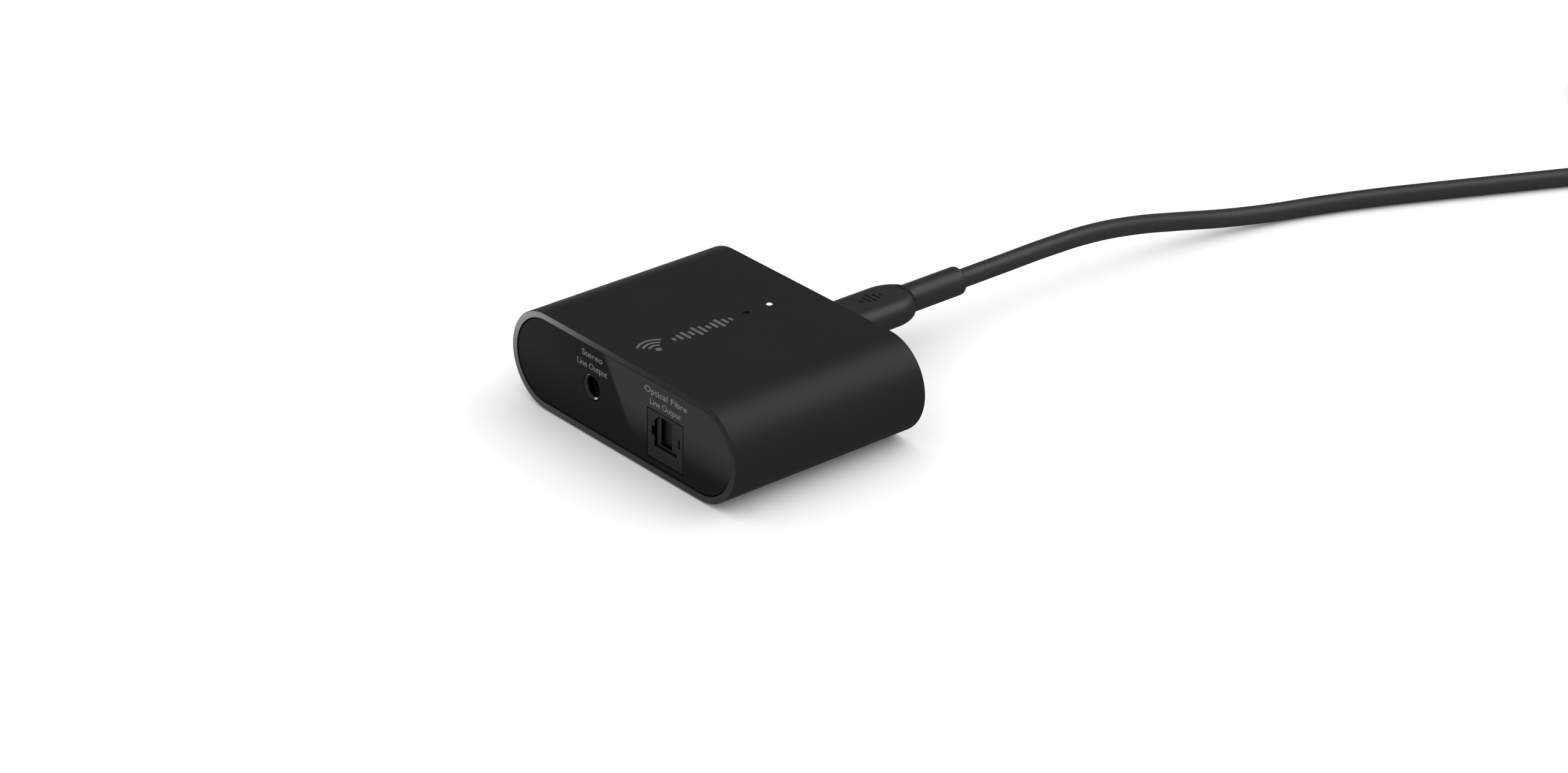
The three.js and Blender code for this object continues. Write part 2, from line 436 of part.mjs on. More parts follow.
// far end: leaves the outer turn of the upper layer towards -X and comes down to the surface
const FAR = { y: COIL.y + COIL.rout, z: 4.05, x0: COIL.x, relief: 8.6, w: 15.6, h: 8.0, grip: 22, shell: 11.9 };
{
  const zTop = COIL.z0 + CORD.d / 2 + 3.9;
  const xs = FAR.x0 - 17.5;            // where the cord enters the far strain relief
  const pts = [];
  for (let i = 0; i <= 6; i++) {
    const t = i / 6;
    pts.push(new THREE.Vector3(FAR.x0 + (xs + 0.3 - FAR.x0) * t, FAR.y, zTop + (FAR.z - zTop) * smooth(t)));
  }
  const section = new THREE.Shape();
  const r = CORD.d / 2;
  for (let k = 0; k < 8; k++) {
    const a = (2 * Math.PI * (k + 0.5)) / 8;
    if (k) section.lineTo(r * Math.cos(a), r * Math.sin(a)); else section.moveTo(r * Math.cos(a), r * Math.sin(a));
  }
  section.closePath();
  let tube = solid(new THREE.ExtrudeGeometry(section, { steps: 6, bevelEnabled: false, extrudePath: new THREE.CatmullRomCurve3(pts, false, 'centripetal') }));
  tube = tube.subtract(solid(cylZ(COIL.x, COIL.y, -5, 20, COIL.rout + CORD.d / 2 + 0.5, 72)));
  add('power_cord_tail', geo(tube), F.lead, model);

  const spin = (rings) => rings.map((r) => r.map((p) => new THREE.Vector3(-(p.y), FAR.y + p.x, p.z)));   // local +Y runs towards -X
  const base = -xs;
  const sr = [];
  [[0, 4.4], [0.5, 5.0], [6, 6.2], [FAR.relief - 0.2, 6.6]].forEach(([d, dia]) => sr.push(ovalRing(dia, dia, base + d, 0, FAR.z, 20)));
  add('far_strain_relief', loft(spin(sr)), F.lead, model);
  const gr = [];
  [[0, 8.5, 6.8], [0.8, 11.5, 7.7], [2.5, 14.6, 8], [4.5, FAR.w, 8], [FAR.grip - 0.6, FAR.w, 8], [FAR.grip, FAR.w - 0.9, 7.2]]
    .forEach(([d, w, h]) => gr.push(ovalRing(w, h, base + FAR.relief + 0.1 + d, 0, FAR.z, 28)));
  add('far_plug_grip', loft(spin(gr)), F.lead, model);
  const y0 = base + FAR.relief + 0.1 + FAR.grip + 0.25, y1 = y0 + FAR.shell - 0.2;
  const rect = (w, h, y) => [[-w / 2, -h / 2], [w / 2, -h / 2], [w / 2, h / 2], [-w / 2, h / 2]].map(([a, b]) => new THREE.Vector3(a, y, FAR.z + b));
  let sh = solid(loft(spin([rect(12, 4.5, y0), rect(12, 4.5, y1)])));
  sh = sh.subtract(solid(loft(spin([rect(11.4, 3.9, y0 + 0.6), rect(11.4, 3.9, y1 + 1)]))));
  add('far_plug_shell', geo(sh), F.steel, model);
  add('far_plug_tongue', loft(spin([rect(11.0, 1.8, y0 + 0.8), rect(11.0, 1.8, y1 - 0.4)]).map((r) => r.map((p) => new THREE.Vector3(p.x, p.y, p.z - 0.85)))), F.dark, model);
}

export default model;
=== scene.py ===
import json
import math

import bmesh
import bpy
import numpy as np
from mathutils import Matrix, Vector

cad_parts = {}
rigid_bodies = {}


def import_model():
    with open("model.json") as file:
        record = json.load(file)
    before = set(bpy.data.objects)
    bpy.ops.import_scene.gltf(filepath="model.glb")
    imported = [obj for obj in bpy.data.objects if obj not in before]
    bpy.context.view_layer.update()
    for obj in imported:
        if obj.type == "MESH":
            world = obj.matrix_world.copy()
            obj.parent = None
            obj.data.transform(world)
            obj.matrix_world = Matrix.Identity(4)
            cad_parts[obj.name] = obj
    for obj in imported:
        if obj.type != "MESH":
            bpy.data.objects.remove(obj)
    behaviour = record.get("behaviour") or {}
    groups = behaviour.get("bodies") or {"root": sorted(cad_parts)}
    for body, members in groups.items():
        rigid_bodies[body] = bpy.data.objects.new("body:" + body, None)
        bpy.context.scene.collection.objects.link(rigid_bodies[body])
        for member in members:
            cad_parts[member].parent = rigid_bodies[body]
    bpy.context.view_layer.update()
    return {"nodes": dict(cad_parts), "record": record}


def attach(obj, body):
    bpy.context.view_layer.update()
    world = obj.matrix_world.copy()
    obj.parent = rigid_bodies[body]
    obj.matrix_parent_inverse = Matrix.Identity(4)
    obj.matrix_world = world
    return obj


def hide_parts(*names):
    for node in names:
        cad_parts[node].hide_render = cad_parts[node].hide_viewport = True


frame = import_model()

# ------------------------------------------------------------------ dimensions, in millimetres
# Housing coordinates: the sleeve's underside is z = 0, and the foot plane is FOOT below it.
W, D, H, WALL, FOOT = 64.0, 44.85, 19.65, 1.35, 0.3
RECESS, PANEL_T, GAP = 0.2, 1.5, 0.16
YF, YB = -D / 2 + RECESS, D / 2 - RECESS
ZC = H / 2
LED = (0.1, 12.3)
RESET = (0.1, 6.75)
JACK = (-8.58, 10.02)
OPT = dict(x=12.24, z=7.68, w=9.84, h=9.53)
USBZ = 10.12
CORD_D, REST = 3.8, 1.95
CORD_Z = USBZ + FOOT
COIL = (24.34, 265.48)
R_IN, R_OUT, TURNS = 12.3, 30.5, 4.66
APPROACH = 203.0
SKY, SHEEN_SKY, KEY, CARD, RIM, BACK, RING = 1.22, 0.1, 1.1, 1.0, 6.6, 0.42, 4.0


# ------------------------------------------------------------------ camera
def camera():
    az, el, roll = (math.radians(v) for v in (48.7672, 27.2067, 1.1919))
    b = Vector((math.sin(az) * math.cos(el), -math.cos(az) * math.cos(el), math.sin(el)))
    right = Vector((0, 0, 1)).cross(b).normalized()
    up = b.cross(right)
    r = math.cos(roll) * right + math.sin(roll) * up
    u = -math.sin(roll) * right + math.cos(roll) * up
    c = Vector((0, 0, ZC + FOOT)) + b * 753.96 + r * 12.2518 - u * 2.9561
    cam = bpy.data.cameras.new("camera")
    cam.sensor_width = 36.0
    cam.lens = 36.0 * 6737.16 / 2560
    cam.clip_start, cam.clip_end = 0.02, 20
    o = bpy.data.objects.new("camera", cam)
    m = Matrix((r, u, b)).transposed().to_4x4()
    m.translation = c * 0.001
    o.matrix_world = m
    bpy.context.scene.collection.objects.link(o)
    bpy.context.scene.camera = o


# ------------------------------------------------------------------ mesh helpers (all in millimetres)
def new(name, verts, faces):
    me = bpy.data.meshes.new(name)
    me.from_pydata([tuple(map(float, v)) for v in verts], [], [tuple(map(int, f)) for f in faces])
    me.validate()
    o = bpy.data.objects.new(name, me)
    bpy.context.scene.collection.objects.link(o)
    return o


def outward(o):
    bm = bmesh.new()
    bm.from_mesh(o.data)
    bmesh.ops.recalc_face_normals(bm, faces=bm.faces)
    if bm.calc_volume(signed=True) < 0:
        bmesh.ops.reverse_faces(bm, faces=bm.faces)
    bm.to_mesh(o.data)
    bm.free()
    return o


def bar(w, h, cx=0.0, cz=0.0, n=24, r=None, straight=1):
    """Closed outline of a bar with half-round ends, or a rectangle with corners of radius r."""
    r = min(w, h) / 2 if r is None else r
    out = []
    corners = [(1, 1, 0), (-1, 1, 90), (-1, -1, 180), (1, -1, 270)]
    for sx, sz, a0 in corners:
        for k in range(n + 1):
            a = math.radians(a0 + 90 * k / n)
            out.append((cx + sx * (w / 2 - r) + r * math.cos(a), cz + sz * (h / 2 - r) + r * math.sin(a)))
    pts = [out[0]]
    for p in out[1:]:
        if math.dist(p, pts[-1]) > 1e-5:
            pts.append(p)
    if math.dist(pts[0], pts[-1]) < 1e-5:
        pts.pop()
    return pts


def loft(name, rings, caps=True, closed=False):
    """Skin through rings of equal length; with closed the last ring joins the first."""
    n = len(rings[0])
    verts = [p for r in rings for p in r]
    faces = []
    m = len(rings)
    for i in range(m if closed else m - 1):
        a0, b0 = i * n, ((i + 1) % m) * n
        for k in range(n):
            k2 = (k + 1) % n
            faces.append((a0 + k, a0 + k2, b0 + k2, b0 + k))
    if caps and not closed:
        faces.append(tuple(range(n))[::-1])
        faces.append(tuple((m - 1) * n + k for k in range(n)))
    return outward(new(name, verts, faces))


def extrude_y(name, outline, y0, y1):
    return loft(name, [[(x, y, z) for x, z in outline] for y in (y0, y1)])


def extrude_x(name, outline, x0, x1):
    return loft(name, [[(x, y, z) for y, z in outline] for x in (x0, x1)])


def extrude_z(name, outline, z0, z1):
    return loft(name, [[(x, y, z) for x, y in outline] for z in (z0, z1)])


def box(name, x0, x1, y0, y1, z0, z1):
    return extrude_z(name, [(x0, y0), (x1, y0), (x1, y1), (x0, y1)], z0, z1)


def lathe(name, profile, centre, axis="z", n=48):
    """Profile of (radius, height) pairs turned about an axis through centre; ends on the axis or is closed."""
    on = [abs(r) < 1e-6 for r, _ in profile]
    verts, index = [], []
    for r, h in profile:
        if abs(r) < 1e-6:
            index.append([len(verts)] * n)
            verts.append((0.0, 0.0, h))
        else:
            index.append(list(range(len(verts), len(verts) + n)))
            for k in range(n):
                a = 2 * math.pi * k / n
                verts.append((r * math.cos(a), r * math.sin(a), h))
    faces = []
    last = len(profile) - 1
    loops = [(i, i + 1) for i in range(last)]
    if not (on[0] and on[-1]):
        loops.append((last, 0))
    for i, j in loops:
        for k in range(n):
            k2 = (k + 1) % n
            f = [index[i][k], index[i][k2], index[j][k2], index[j][k]]
            g = []
            for v in f:
                if v not in g:
                    g.append(v)
            if len(g) > 2:
                faces.append(tuple(g))
    cx, cy, cz = centre
    if axis == "z":
        verts = [(cx + x, cy + y, cz + z) for x, y, z in verts]
    elif axis == "y":
        verts = [(cx + x, cy + z, cz - y) for x, y, z in verts]
    else:
        verts = [(cx + z, cy + x, cz + y) for x, y, z in verts]
    return outward(new(name, verts, faces))


def apply(o):
    dg = bpy.context.evaluated_depsgraph_get()
    dg.update()
    me = bpy.data.meshes.new_from_object(o.evaluated_get(dg), depsgraph=dg)
    o.modifiers.clear()
    old = o.data
    o.data = me
    bpy.data.meshes.remove(old)
    return o


def cut(o, *tools, op="DIFFERENCE"):
    for t in tools:
        m = o.modifiers.new("b", "BOOLEAN")
        m.operation, m.solver, m.object = op, "EXACT", t
        apply(o)
        bpy.data.objects.remove(t)
    bm = bmesh.new()
    bm.from_mesh(o.data)
    bmesh.ops.remove_doubles(bm, verts=bm.verts, dist=1e-4)
    bmesh.ops.dissolve_limit(bm, angle_limit=math.radians(0.5), verts=bm.verts, edges=bm.edges)
    bm.to_mesh(o.data)
    bm.free()
    return o


def join(o, *others):
    return cut(o, *others, op="UNION")


def soften(o, width, segments=2, angle=32):
    m = o.modifiers.new("v", "BEVEL")
    m.width, m.segments, m.limit_method, m.angle_limit = width, segments, "ANGLE", math.radians(angle)
    m.offset_type = "OFFSET"
    m.use_clamp_overlap = True
    m.miter_outer = "MITER_ARC"
    return apply(o)


def shade(o, angle=42):
    """Smooth faces, sharp above the angle, normals leaning to the large faces."""
    bm = bmesh.new()
    bm.from_mesh(o.data)
    lim = math.radians(angle)
    for f in bm.faces:
        f.smooth = True
    for e in bm.edges:
        e.smooth = not (len(e.link_faces) == 2 and e.calc_face_angle(0) > lim)
    bm.to_mesh(o.data)
    bm.free()
    m = o.modifiers.new("w", "WEIGHTED_NORMAL")
    m.keep_sharp, m.weight, m.mode = True, 50, "FACE_AREA"
    return apply(o)


def settle(o, mat, body, replaces=(), z=FOOT, angle=42, smooth=True):
    """Millimetres to metres, into the row frame, onto its body."""
    if smooth:
        shade(o, angle)
    me = o.data
    normals = np.zeros(len(me.loops) * 3, np.float32)
    me.corner_normals.foreach_get("vector", normals)
    me.transform(Matrix.Translation((0, 0, z * 0.001)) @ Matrix.Scale(0.001, 4))
    me.normals_split_custom_set(normals.reshape(-1, 3).tolist())
    me.materials.clear()
    me.materials.append(mat)
    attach(o, body)
    if replaces:
        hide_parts(*replaces)
    return o


def darken(o, mat, where, slot=1):
    """Further material on the faces whose centre and normal, in housing millimetres, satisfy the test."""
    o.data.materials.append(mat)
    for f in o.data.polygons:
        c = f.center * 1000
        if where((c[0], c[1], c[2] - FOOT), f.normal):
            f.material_index = slot


# ------------------------------------------------------------------ material helpers
class Mat:
    def __init__(self, name):
        self.m = bpy.data.materials.new(name)
        self.m.use_nodes = True
        self.nt = self.m.node_tree
        self.nt.nodes.clear()
        self.out = self.nt.nodes.new("ShaderNodeOutputMaterial")
        self.b = self.nt.nodes.new("ShaderNodeBsdfPrincipled")
        self.nt.links.new(self.b.outputs[0], self.out.inputs[0])
        tc = self.nt.nodes.new("ShaderNodeTexCoord")
        self.coord = tc.outputs["Object"]

    def set(self, **kw):
        names = {"metal": "Metallic", "spec": "Specular IOR Level", "ior": "IOR", "coat": "Coat Weight", "coat_rough": "Coat Roughness",
                 "sheen": "Sheen Weight", "sheen_rough": "Sheen Roughness", "trans": "Transmission Weight", "emit": "Emission Strength",
                 "aniso": "Anisotropic", "rough": "Roughness", "alpha": "Alpha"}
        for k, v in kw.items():
            self.b.inputs[names[k]].default_value = v
        return self

    def node(self, kind, **props):
        n = self.nt.nodes.new(kind)
        for k, v in props.items():
            setattr(n, k, v)
        return n

    def link(self, a, b):
        self.nt.links.new(a, b)

    def scaled(self, s):
        """Object coordinates times s per metre."""
        n = self.node("ShaderNodeMapping")
        s = (s, s, s) if isinstance(s, (int, float)) else s
        n.inputs["Scale"].default_value = s
        self.link(self.coord, n.inputs["Vector"])
        return n.outputs[0]

    def noise(self, scale, detail=3.0, rough=0.55, dist=0.0):
        n = self.node("ShaderNodeTexNoise")
        n.inputs["Scale"].default_value = 1.0
        n.inputs["Detail"].default_value = detail
        n.inputs["Roughness"].default_value = rough
        n.inputs["Distortion"].default_value = dist
        self.link(self.scaled(scale), n.inputs["Vector"])
        return n.outputs["Fac"]

    def ramp(self, fac, stops):
        n = self.node("ShaderNodeValToRGB")
        e = n.color_ramp.elements
        while len(e) > 1:
            e.remove(e[0])
        for i, (p, c) in enumerate(stops):
            x = e[0] if i == 0 else e.new(p)
            x.position = p
            x.color = (*c, 1) if len(c) == 3 else c
        self.link(fac, n.inputs[0])
        return n.outputs[0]

    def remap(self, fac, lo, hi, f0=0.3, f1=0.7):
        n = self.node("ShaderNodeMapRange")
        n.inputs["From Min"].default_value, n.inputs["From Max"].default_value = f0, f1
        n.inputs["To Min"].default_value, n.inputs["To Max"].default_value = lo, hi
        self.link(fac, n.inputs["Value"])
        return n.outputs[0]

    def bump(self, height, strength, distance, after=None):
        n = self.node("ShaderNodeBump")
        n.inputs["Strength"].default_value = strength
        n.inputs["Distance"].default_value = distance
        self.link(height, n.inputs["Height"])
        if after is not None:
            self.link(after, n.inputs["Normal"])
        return n.outputs[0]

    def to(self, socket, name):
        self.link(socket, self.b.inputs[name])


def grey(v):
    return (v, v, v * 1.02)


def moulded(name, base, rough, spread=0.07, vary=0.035, grain=5200, depth=4e-6, strength=0.12, broad=60, spec=0.5, tint=(1, 1, 1.03), **kw):
    """Moulded plastic: fine spark-eroded grain in colour, gloss and height, and a slow drift across the part."""
    m = Mat(name)
    fine = m.noise(grain, 4, 0.6)
    slow = m.noise(broad, 2, 0.5)
    mix = m.node("ShaderNodeMath", operation="MULTIPLY_ADD")
    m.link(fine, mix.inputs[0])
    mix.inputs[1].default_value = 0.55
    half = m.node("ShaderNodeMath", operation="MULTIPLY")
    m.link(slow, half.inputs[0])
    half.inputs[1].default_value = 0.45
    m.link(half.outputs[0], mix.inputs[2])
    lo = [base * (1 - spread) * t for t in tint]
    hi = [base * (1 + spread) * t for t in tint]
    m.to(m.ramp(mix.outputs[0], [(0.3, lo), (0.7, hi)]), "Base Color")
    m.to(m.remap(mix.outputs[0], rough - vary, rough + vary), "Roughness")
    m.to(m.bump(fine, strength, depth), "Normal")
    m.set(spec=spec, **kw)
    return m.m


def metal(name, colour, rough, streak=(900, 900, 9000), depth=2e-6, **kw):
    m = Mat(name)
    line = m.noise(streak, 3, 0.6)
    slow = m.noise(220, 3, 0.55)
    m.to(m.ramp(slow, [(0.3, [c * 0.9 for c in colour]), (0.7, list(colour))]), "Base Color")
    m.to(m.remap(line, rough - 0.05, rough + 0.07), "Roughness")
    m.to(m.bump(line, 0.1, depth), "Normal")
    m.set(metal=1.0, **kw)
    return m.m


def board(name, colour):
    """Solder mask over copper tracks and pads."""
    m = Mat(name)
    v = m.node("ShaderNodeTexBrick")
    v.inputs["Scale"].default_value = 1.0
    v.inputs["Mortar Size"].default_value = 0.06
    v.inputs["Brick Width"].default_value = 1.9
    v.inputs["Row Height"].default_value = 0.7
    v.inputs["Color1"].default_value = (*[c * 0.85 for c in colour], 1)
    v.inputs["Color2"].default_value = (*[c * 1.1 for c in colour], 1)
    v.inputs["Mortar"].default_value = (*[c * 1.9 for c in colour], 1)
    m.link(m.scaled(620), v.inputs["Vector"])
    fine = m.noise(2600, 3, 0.6)
    mx = m.node("ShaderNodeMix", data_type="RGBA", blend_type="MULTIPLY")
    mx.inputs["Factor"].default_value = 0.5
    m.link(v.outputs["Color"], mx.inputs["A"])
    m.link(m.ramp(fine, [(0.3, (0.8, 0.8, 0.8)), (0.7, (1.1, 1.1, 1.1))]), mx.inputs["B"])
    m.to(mx.outputs["Result"], "Base Color")
    m.to(m.remap(fine, 0.32, 0.45), "Roughness")
    m.to(m.bump(v.outputs["Fac"], 0.4, 2e-5), "Normal")
    return m.m


def build_materials():
    M = {}
    M["shell"] = moulded("shell_satin", 0.0123, 0.46, grain=4200, depth=5e-6, strength=0.16)
    M["edge"] = moulded("edge_polished", 0.0078, 0.2, spread=0.05, grain=2600, depth=1.5e-6, strength=0.05)
    M["panel"] = moulded("panel_gloss", 0.0036, 0.05, spread=0.05, vary=0.012, grain=900, depth=1e-6, strength=0.02)
    M["port"] = moulded("port_satin", 0.0125, 0.4, grain=5200, spec=0.38)
    M["grip"] = moulded("grip_satin", 0.0175, 0.42, grain=4600, depth=5e-6, strength=0.18, spec=0.85)
    M["lead"] = moulded("lead_jacket", 0.0205, 0.45, grain=3600, depth=6e-6, strength=0.2, spec=0.9)
    M["foot"] = moulded("foot_rubber", 0.02, 0.8, spread=0.12, grain=2400, depth=2e-5, strength=0.3)
    # painted shade: dim satin for the shutter pocket's floor and a thin shadow line at the mouth's right edge
    M["pocket"] = moulded("pocket_satin", 0.004, 0.5)
    # painted shade: near-black, almost unshiny, for the optical mouth's inside, the shutter pocket walls, the reset
    # hole and the spring arm
    M["deep"] = moulded("deep_recess", 0.0015, 0.8, spec=0.1)
    M["tray"] = moulded("tray_nylon", 0.035, 0.6, spread=0.15, grain=2800)
    M["chip"] = moulded("chip_package", 0.022, 0.55, spread=0.1, grain=3800)
    M["nickel"] = metal("nickel_plate", (0.62, 0.61, 0.58), 0.22)
    M["dark_nickel"] = metal("black_nickel", (0.25, 0.25, 0.255), 0.2)
    M["steel"] = metal("spring_steel", (0.52, 0.53, 0.54), 0.3)
    M["can"] = metal("tin_can", (0.6, 0.6, 0.6), 0.35)
    M["gold"] = metal("contact_gold", (0.78, 0.55, 0.22), 0.28)
    M["ceramic"] = moulded("chip_ceramic", 0.5, 0.6, tint=(1, 0.9, 0.72))
    M["board"] = board("solder_mask", (0.012, 0.075, 0.035))
    M["ink"] = moulded("grey_ink", 0.107, 0.5, spread=0.06, grain=6000)
    M["label"] = moulded("label_ink", 0.148, 0.5, spread=0.06, grain=6000)
    m = Mat("light_disc")
    n = m.noise(3000, 2, 0.5)
    m.to(m.ramp(n, [(0.3, (0.86, 0.88, 0.92)), (0.7, (0.95, 0.96, 0.98))]), "Base Color")
    m.to(m.ramp(n, [(0.3, (0.9, 0.94, 1.0)), (0.7, (1.0, 1.0, 1.0))]), "Emission Color")
    m.to(m.remap(n, 0.3, 0.4), "Roughness")
    m.set(emit=1.6)
    M["glow"] = m.m
    m = Mat("clear_lens")
    n = m.noise(2000, 2, 0.5)
    m.to(m.ramp(n, [(0.3, (0.9, 0.9, 0.92)), (0.7, (1.0, 1.0, 1.0))]), "Base Color")
    m.to(m.remap(n, 0.03, 0.07), "Roughness")
    m.set(trans=0.9, ior=1.5)
    M["lens"] = m.m
    m = Mat("tie_weave")
    w = m.node("ShaderNodeTexWave", wave_type="BANDS", bands_direction="Y")
    w.inputs["Scale"].default_value = 1.0
    w.inputs["Distortion"].default_value = 1.5
    m.link(m.scaled(3400), w.inputs["Vector"])
    fuzz = m.noise(5200, 4, 0.7)
    m.to(m.ramp(w.outputs["Fac"], [(0.2, grey(0.008)), (0.8, grey(0.03))]), "Base Color")
    m.to(m.remap(fuzz, 0.75, 0.95), "Roughness")
    m.to(m.bump(w.outputs["Fac"], 0.6, 6e-5, m.bump(fuzz, 0.5, 4e-5)), "Normal")
    m.set(sheen=0.3)
    M["tie"] = m.m
    return M


# ------------------------------------------------------------------ the lead's route, in millimetres, in the row frame
def ease(t):
    t = min(1.0, max(0.0, t))
    return t * t * t * (t * (6 * t - 15) + 10)


def cord_route(s):
    x, y, q = 0.0, 60.05, 0.0
    while q < s - 1e-9:
        h = min(0.5, s - q)
        a = math.radians(25) * ease((q + h / 2 - 30) / 100)
        x += h * math.sin(a)
        y += h * math.cos(a)
        q += h
    return x, y, CORD_Z + (REST - CORD_Z) * ease((s - 20) / 75)


TIE_ANGLE = 180.0


def tie_lift(theta):
    """The turns rise over the strap that passes under them."""
    d = abs((math.degrees(theta) - TIE_ANGLE + 180) % 360 - 180)
    return 0.6 * ease((44 - d) / 30)


def cord_points():
    pts = []
    n = 17
    for i in range(n):
        s = (APPROACH) * i / n
        pts.append(cord_route(s))
    cx, cy = COIL
    per = 18
    total = TURNS * per
    th0 = math.radians(-25)
    steps = int(round(total))
    for i in range(steps + 1):
        t = i / steps
        th = th0 + 2 * math.pi * TURNS * t
        # the first turn leaves the outer line and then closes in evenly
        r = R_OUT - (R_OUT - R_IN) * t
        pts.append((cx + r * math.cos(th), cy + r * math.sin(th), REST + tie_lift(th) * (1 - 0) + 0.0))
    th1 = th0 + 2 * math.pi * TURNS
    for i in range(1, steps + 1):
        t = i / steps
        th = th1 + 2 * math.pi * TURNS * t
        r = R_IN + (R_OUT - R_IN) * t
        up = 3.9 * ease(t * TURNS / 0.45)
        pts.append((cx + r * math.cos(th), cy + r * math.sin(th), REST + tie_lift(th) + up))
    y_far = cy + R_OUT
    top, low = REST + 3.9, 4.05
    for i in range(1, 8):
        t = i / 7
        pts.append((cx - 17.2 * t, y_far, top + (low - top) * ease(t)))
    return pts


def make_cord(M):
    pts = cord_points()
    cu = bpy.data.curves.new("power_lead_cord", "CURVE")
    cu.dimensions = "3D"
    sp = cu.splines.new("BEZIER")
    sp.bezier_points.add(len(pts) - 1)
    for bp, p in zip(sp.bezier_points, pts):
        bp.co = Vector(p) * 0.001
        bp.handle_left_type = bp.handle_right_type = "AUTO"
    sp.resolution_u = 5
    cu.bevel_depth = CORD_D / 2 * 0.001
    cu.bevel_resolution = 6
    cu.use_fill_caps = True
    o = bpy.data.objects.new("power_lead_cord", cu)
    bpy.context.scene.collection.objects.link(o)
    cu.materials.append(M["lead"])
    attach(o, "power_lead")
    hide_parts("power_cord", "power_cord_coil", "power_cord_tail")
    return o


# ------------------------------------------------------------------ housing
def make_sleeve(M):
    f, fi, k, edge = 0.12, 0.1, 4, 0.35
    n = 40

    def rings_of(prof):
        return [[(x, y, z) for x, z in bar(W - 2 * d, H - 2 * d, 0, ZC, n)] for d, y in prof]
    prof = [(0.0, -D / 2 + edge)]                   # (inward offset, y), front edge ring
    for i in range(k + 1):
        a = math.pi / 2 * i / k
        prof.append((f - f * math.cos(a), -D / 2 + f - f * math.sin(a)))
    for i in range(k + 1):
        a = math.pi / 2 * i / k
        prof.append((WALL - fi + fi * math.sin(a), -D / 2 + fi - fi * math.cos(a)))
    prof.append((WALL, -D / 2 + edge))
    o = loft("housing_front_edge", rings_of(prof), closed=True)
    settle(o, M["edge"], "receiver", ["housing_sleeve"], angle=30)
    darken(o, M["shell"], lambda c, nn: nn[1] > -0.93)

    f, fi = 0.28, 0.16
    prof = [(0.0, -D / 2 + edge), (0.0, 0.0)]       # the sleeve behind it
    for i in range(k + 1):
        a = math.pi / 2 * i / k
        prof.append((f - f * math.cos(a), D / 2 - f + f * math.sin(a)))
    for i in range(k + 1):
        a = math.pi / 2 * i / k
        prof.append((WALL - fi + fi * math.sin(a), D / 2 - fi + fi * math.cos(a)))
    prof.append((WALL, -D / 2 + edge))
    o = loft("housing_shell", rings_of(prof), closed=True)

    def hole(c, r, e=0.12):
        p = [(0, H - 3), (r, H - 3), (r, H - e)] + [(r + e - e * math.cos(t), H - e + e * math.sin(t)) for t in (0.5, 1.0, 1.4)] + [(r + e, H + 0.5), (0, H + 0.5)]
        return lathe("cut", p, (c[0], c[1], 0), n=40)
    cut(o, hole(LED, 0.6, 0.05), hole(RESET, 0.62), extrude_z("cut", bar(40.6, 36.6, 0, 0, 12, 4.3), -1, 0.5))
    settle(o, M["shell"], "receiver", ["housing_sleeve"], angle=50)


def panel_blank(name, y_out, y_in):
    """Flat panel with rounded outer edge; y_out is the face seen from outside."""
    s = 1 if y_in > y_out else -1
    pw, ph = W - 2 * WALL - 2 * GAP, H - 2 * WALL - 2 * GAP
    f, k = 0.1, 4
    rings = []
    for i in range(k + 1):
        a = math.pi / 2 * i / k
        d = f - f * math.sin(a)
        rings.append([(x, y_out + s * (f - f * math.cos(a)), z) for x, z in bar(pw - 2 * d, ph - 2 * d, 0, ZC, 36)])
    rings.append([(x, y_in, z) for x, z in bar(pw, ph, 0, ZC, 36)])
    return loft(name, rings)


def make_panels(M):
    o = panel_blank("front_port_panel", YF, YF + PANEL_T)
    ring = [(0, YF - 1), (2.62, YF - 1), (2.62, YF + 4), (0, YF + 4)]
    x, z, w, h = OPT["x"], OPT["z"], OPT["w"] + 0.4, OPT["h"] + 0.4
    cut(o, lathe("cut", ring, (JACK[0], 0, JACK[1]), "y", 64),
        extrude_y("cut", bar(w, h, x, z, 5, 0.25), YF - 1, YF + 4))
    for tx in (-20, -2, 22):
        join(o, box("t", tx - 2.5, tx + 2.5, YF + PANEL_T - 0.2, YF + 5, H - WALL - 1.5, H - WALL - 0.35),
             box("t", tx - 2.5, tx + 2.5, YF + PANEL_T - 0.2, YF + 3.2, WALL + 0.3, WALL + 1.1))
    settle(o, M["panel"], "receiver", ["front_panel"], angle=40)

    o = panel_blank("back_panel", YB, YB - PANEL_T)
    cut(o, extrude_y("cut", bar(9.44, 3.66, 0, USBZ, 16), YB - 4, YB + 1))
    for tx in (-20, 20):
        join(o, box("t", tx - 2.5, tx + 2.5, YB - 5, YB - PANEL_T + 0.2, H - WALL - 1.5, H - WALL - 0.35),
             box("t", tx - 2.0, tx + 2.0, YB - 2.4, YB - PANEL_T + 0.2, WALL + 0.3, WALL + 1.1))
    settle(o, M["panel"], "receiver", ["rear_panel"], angle=40)


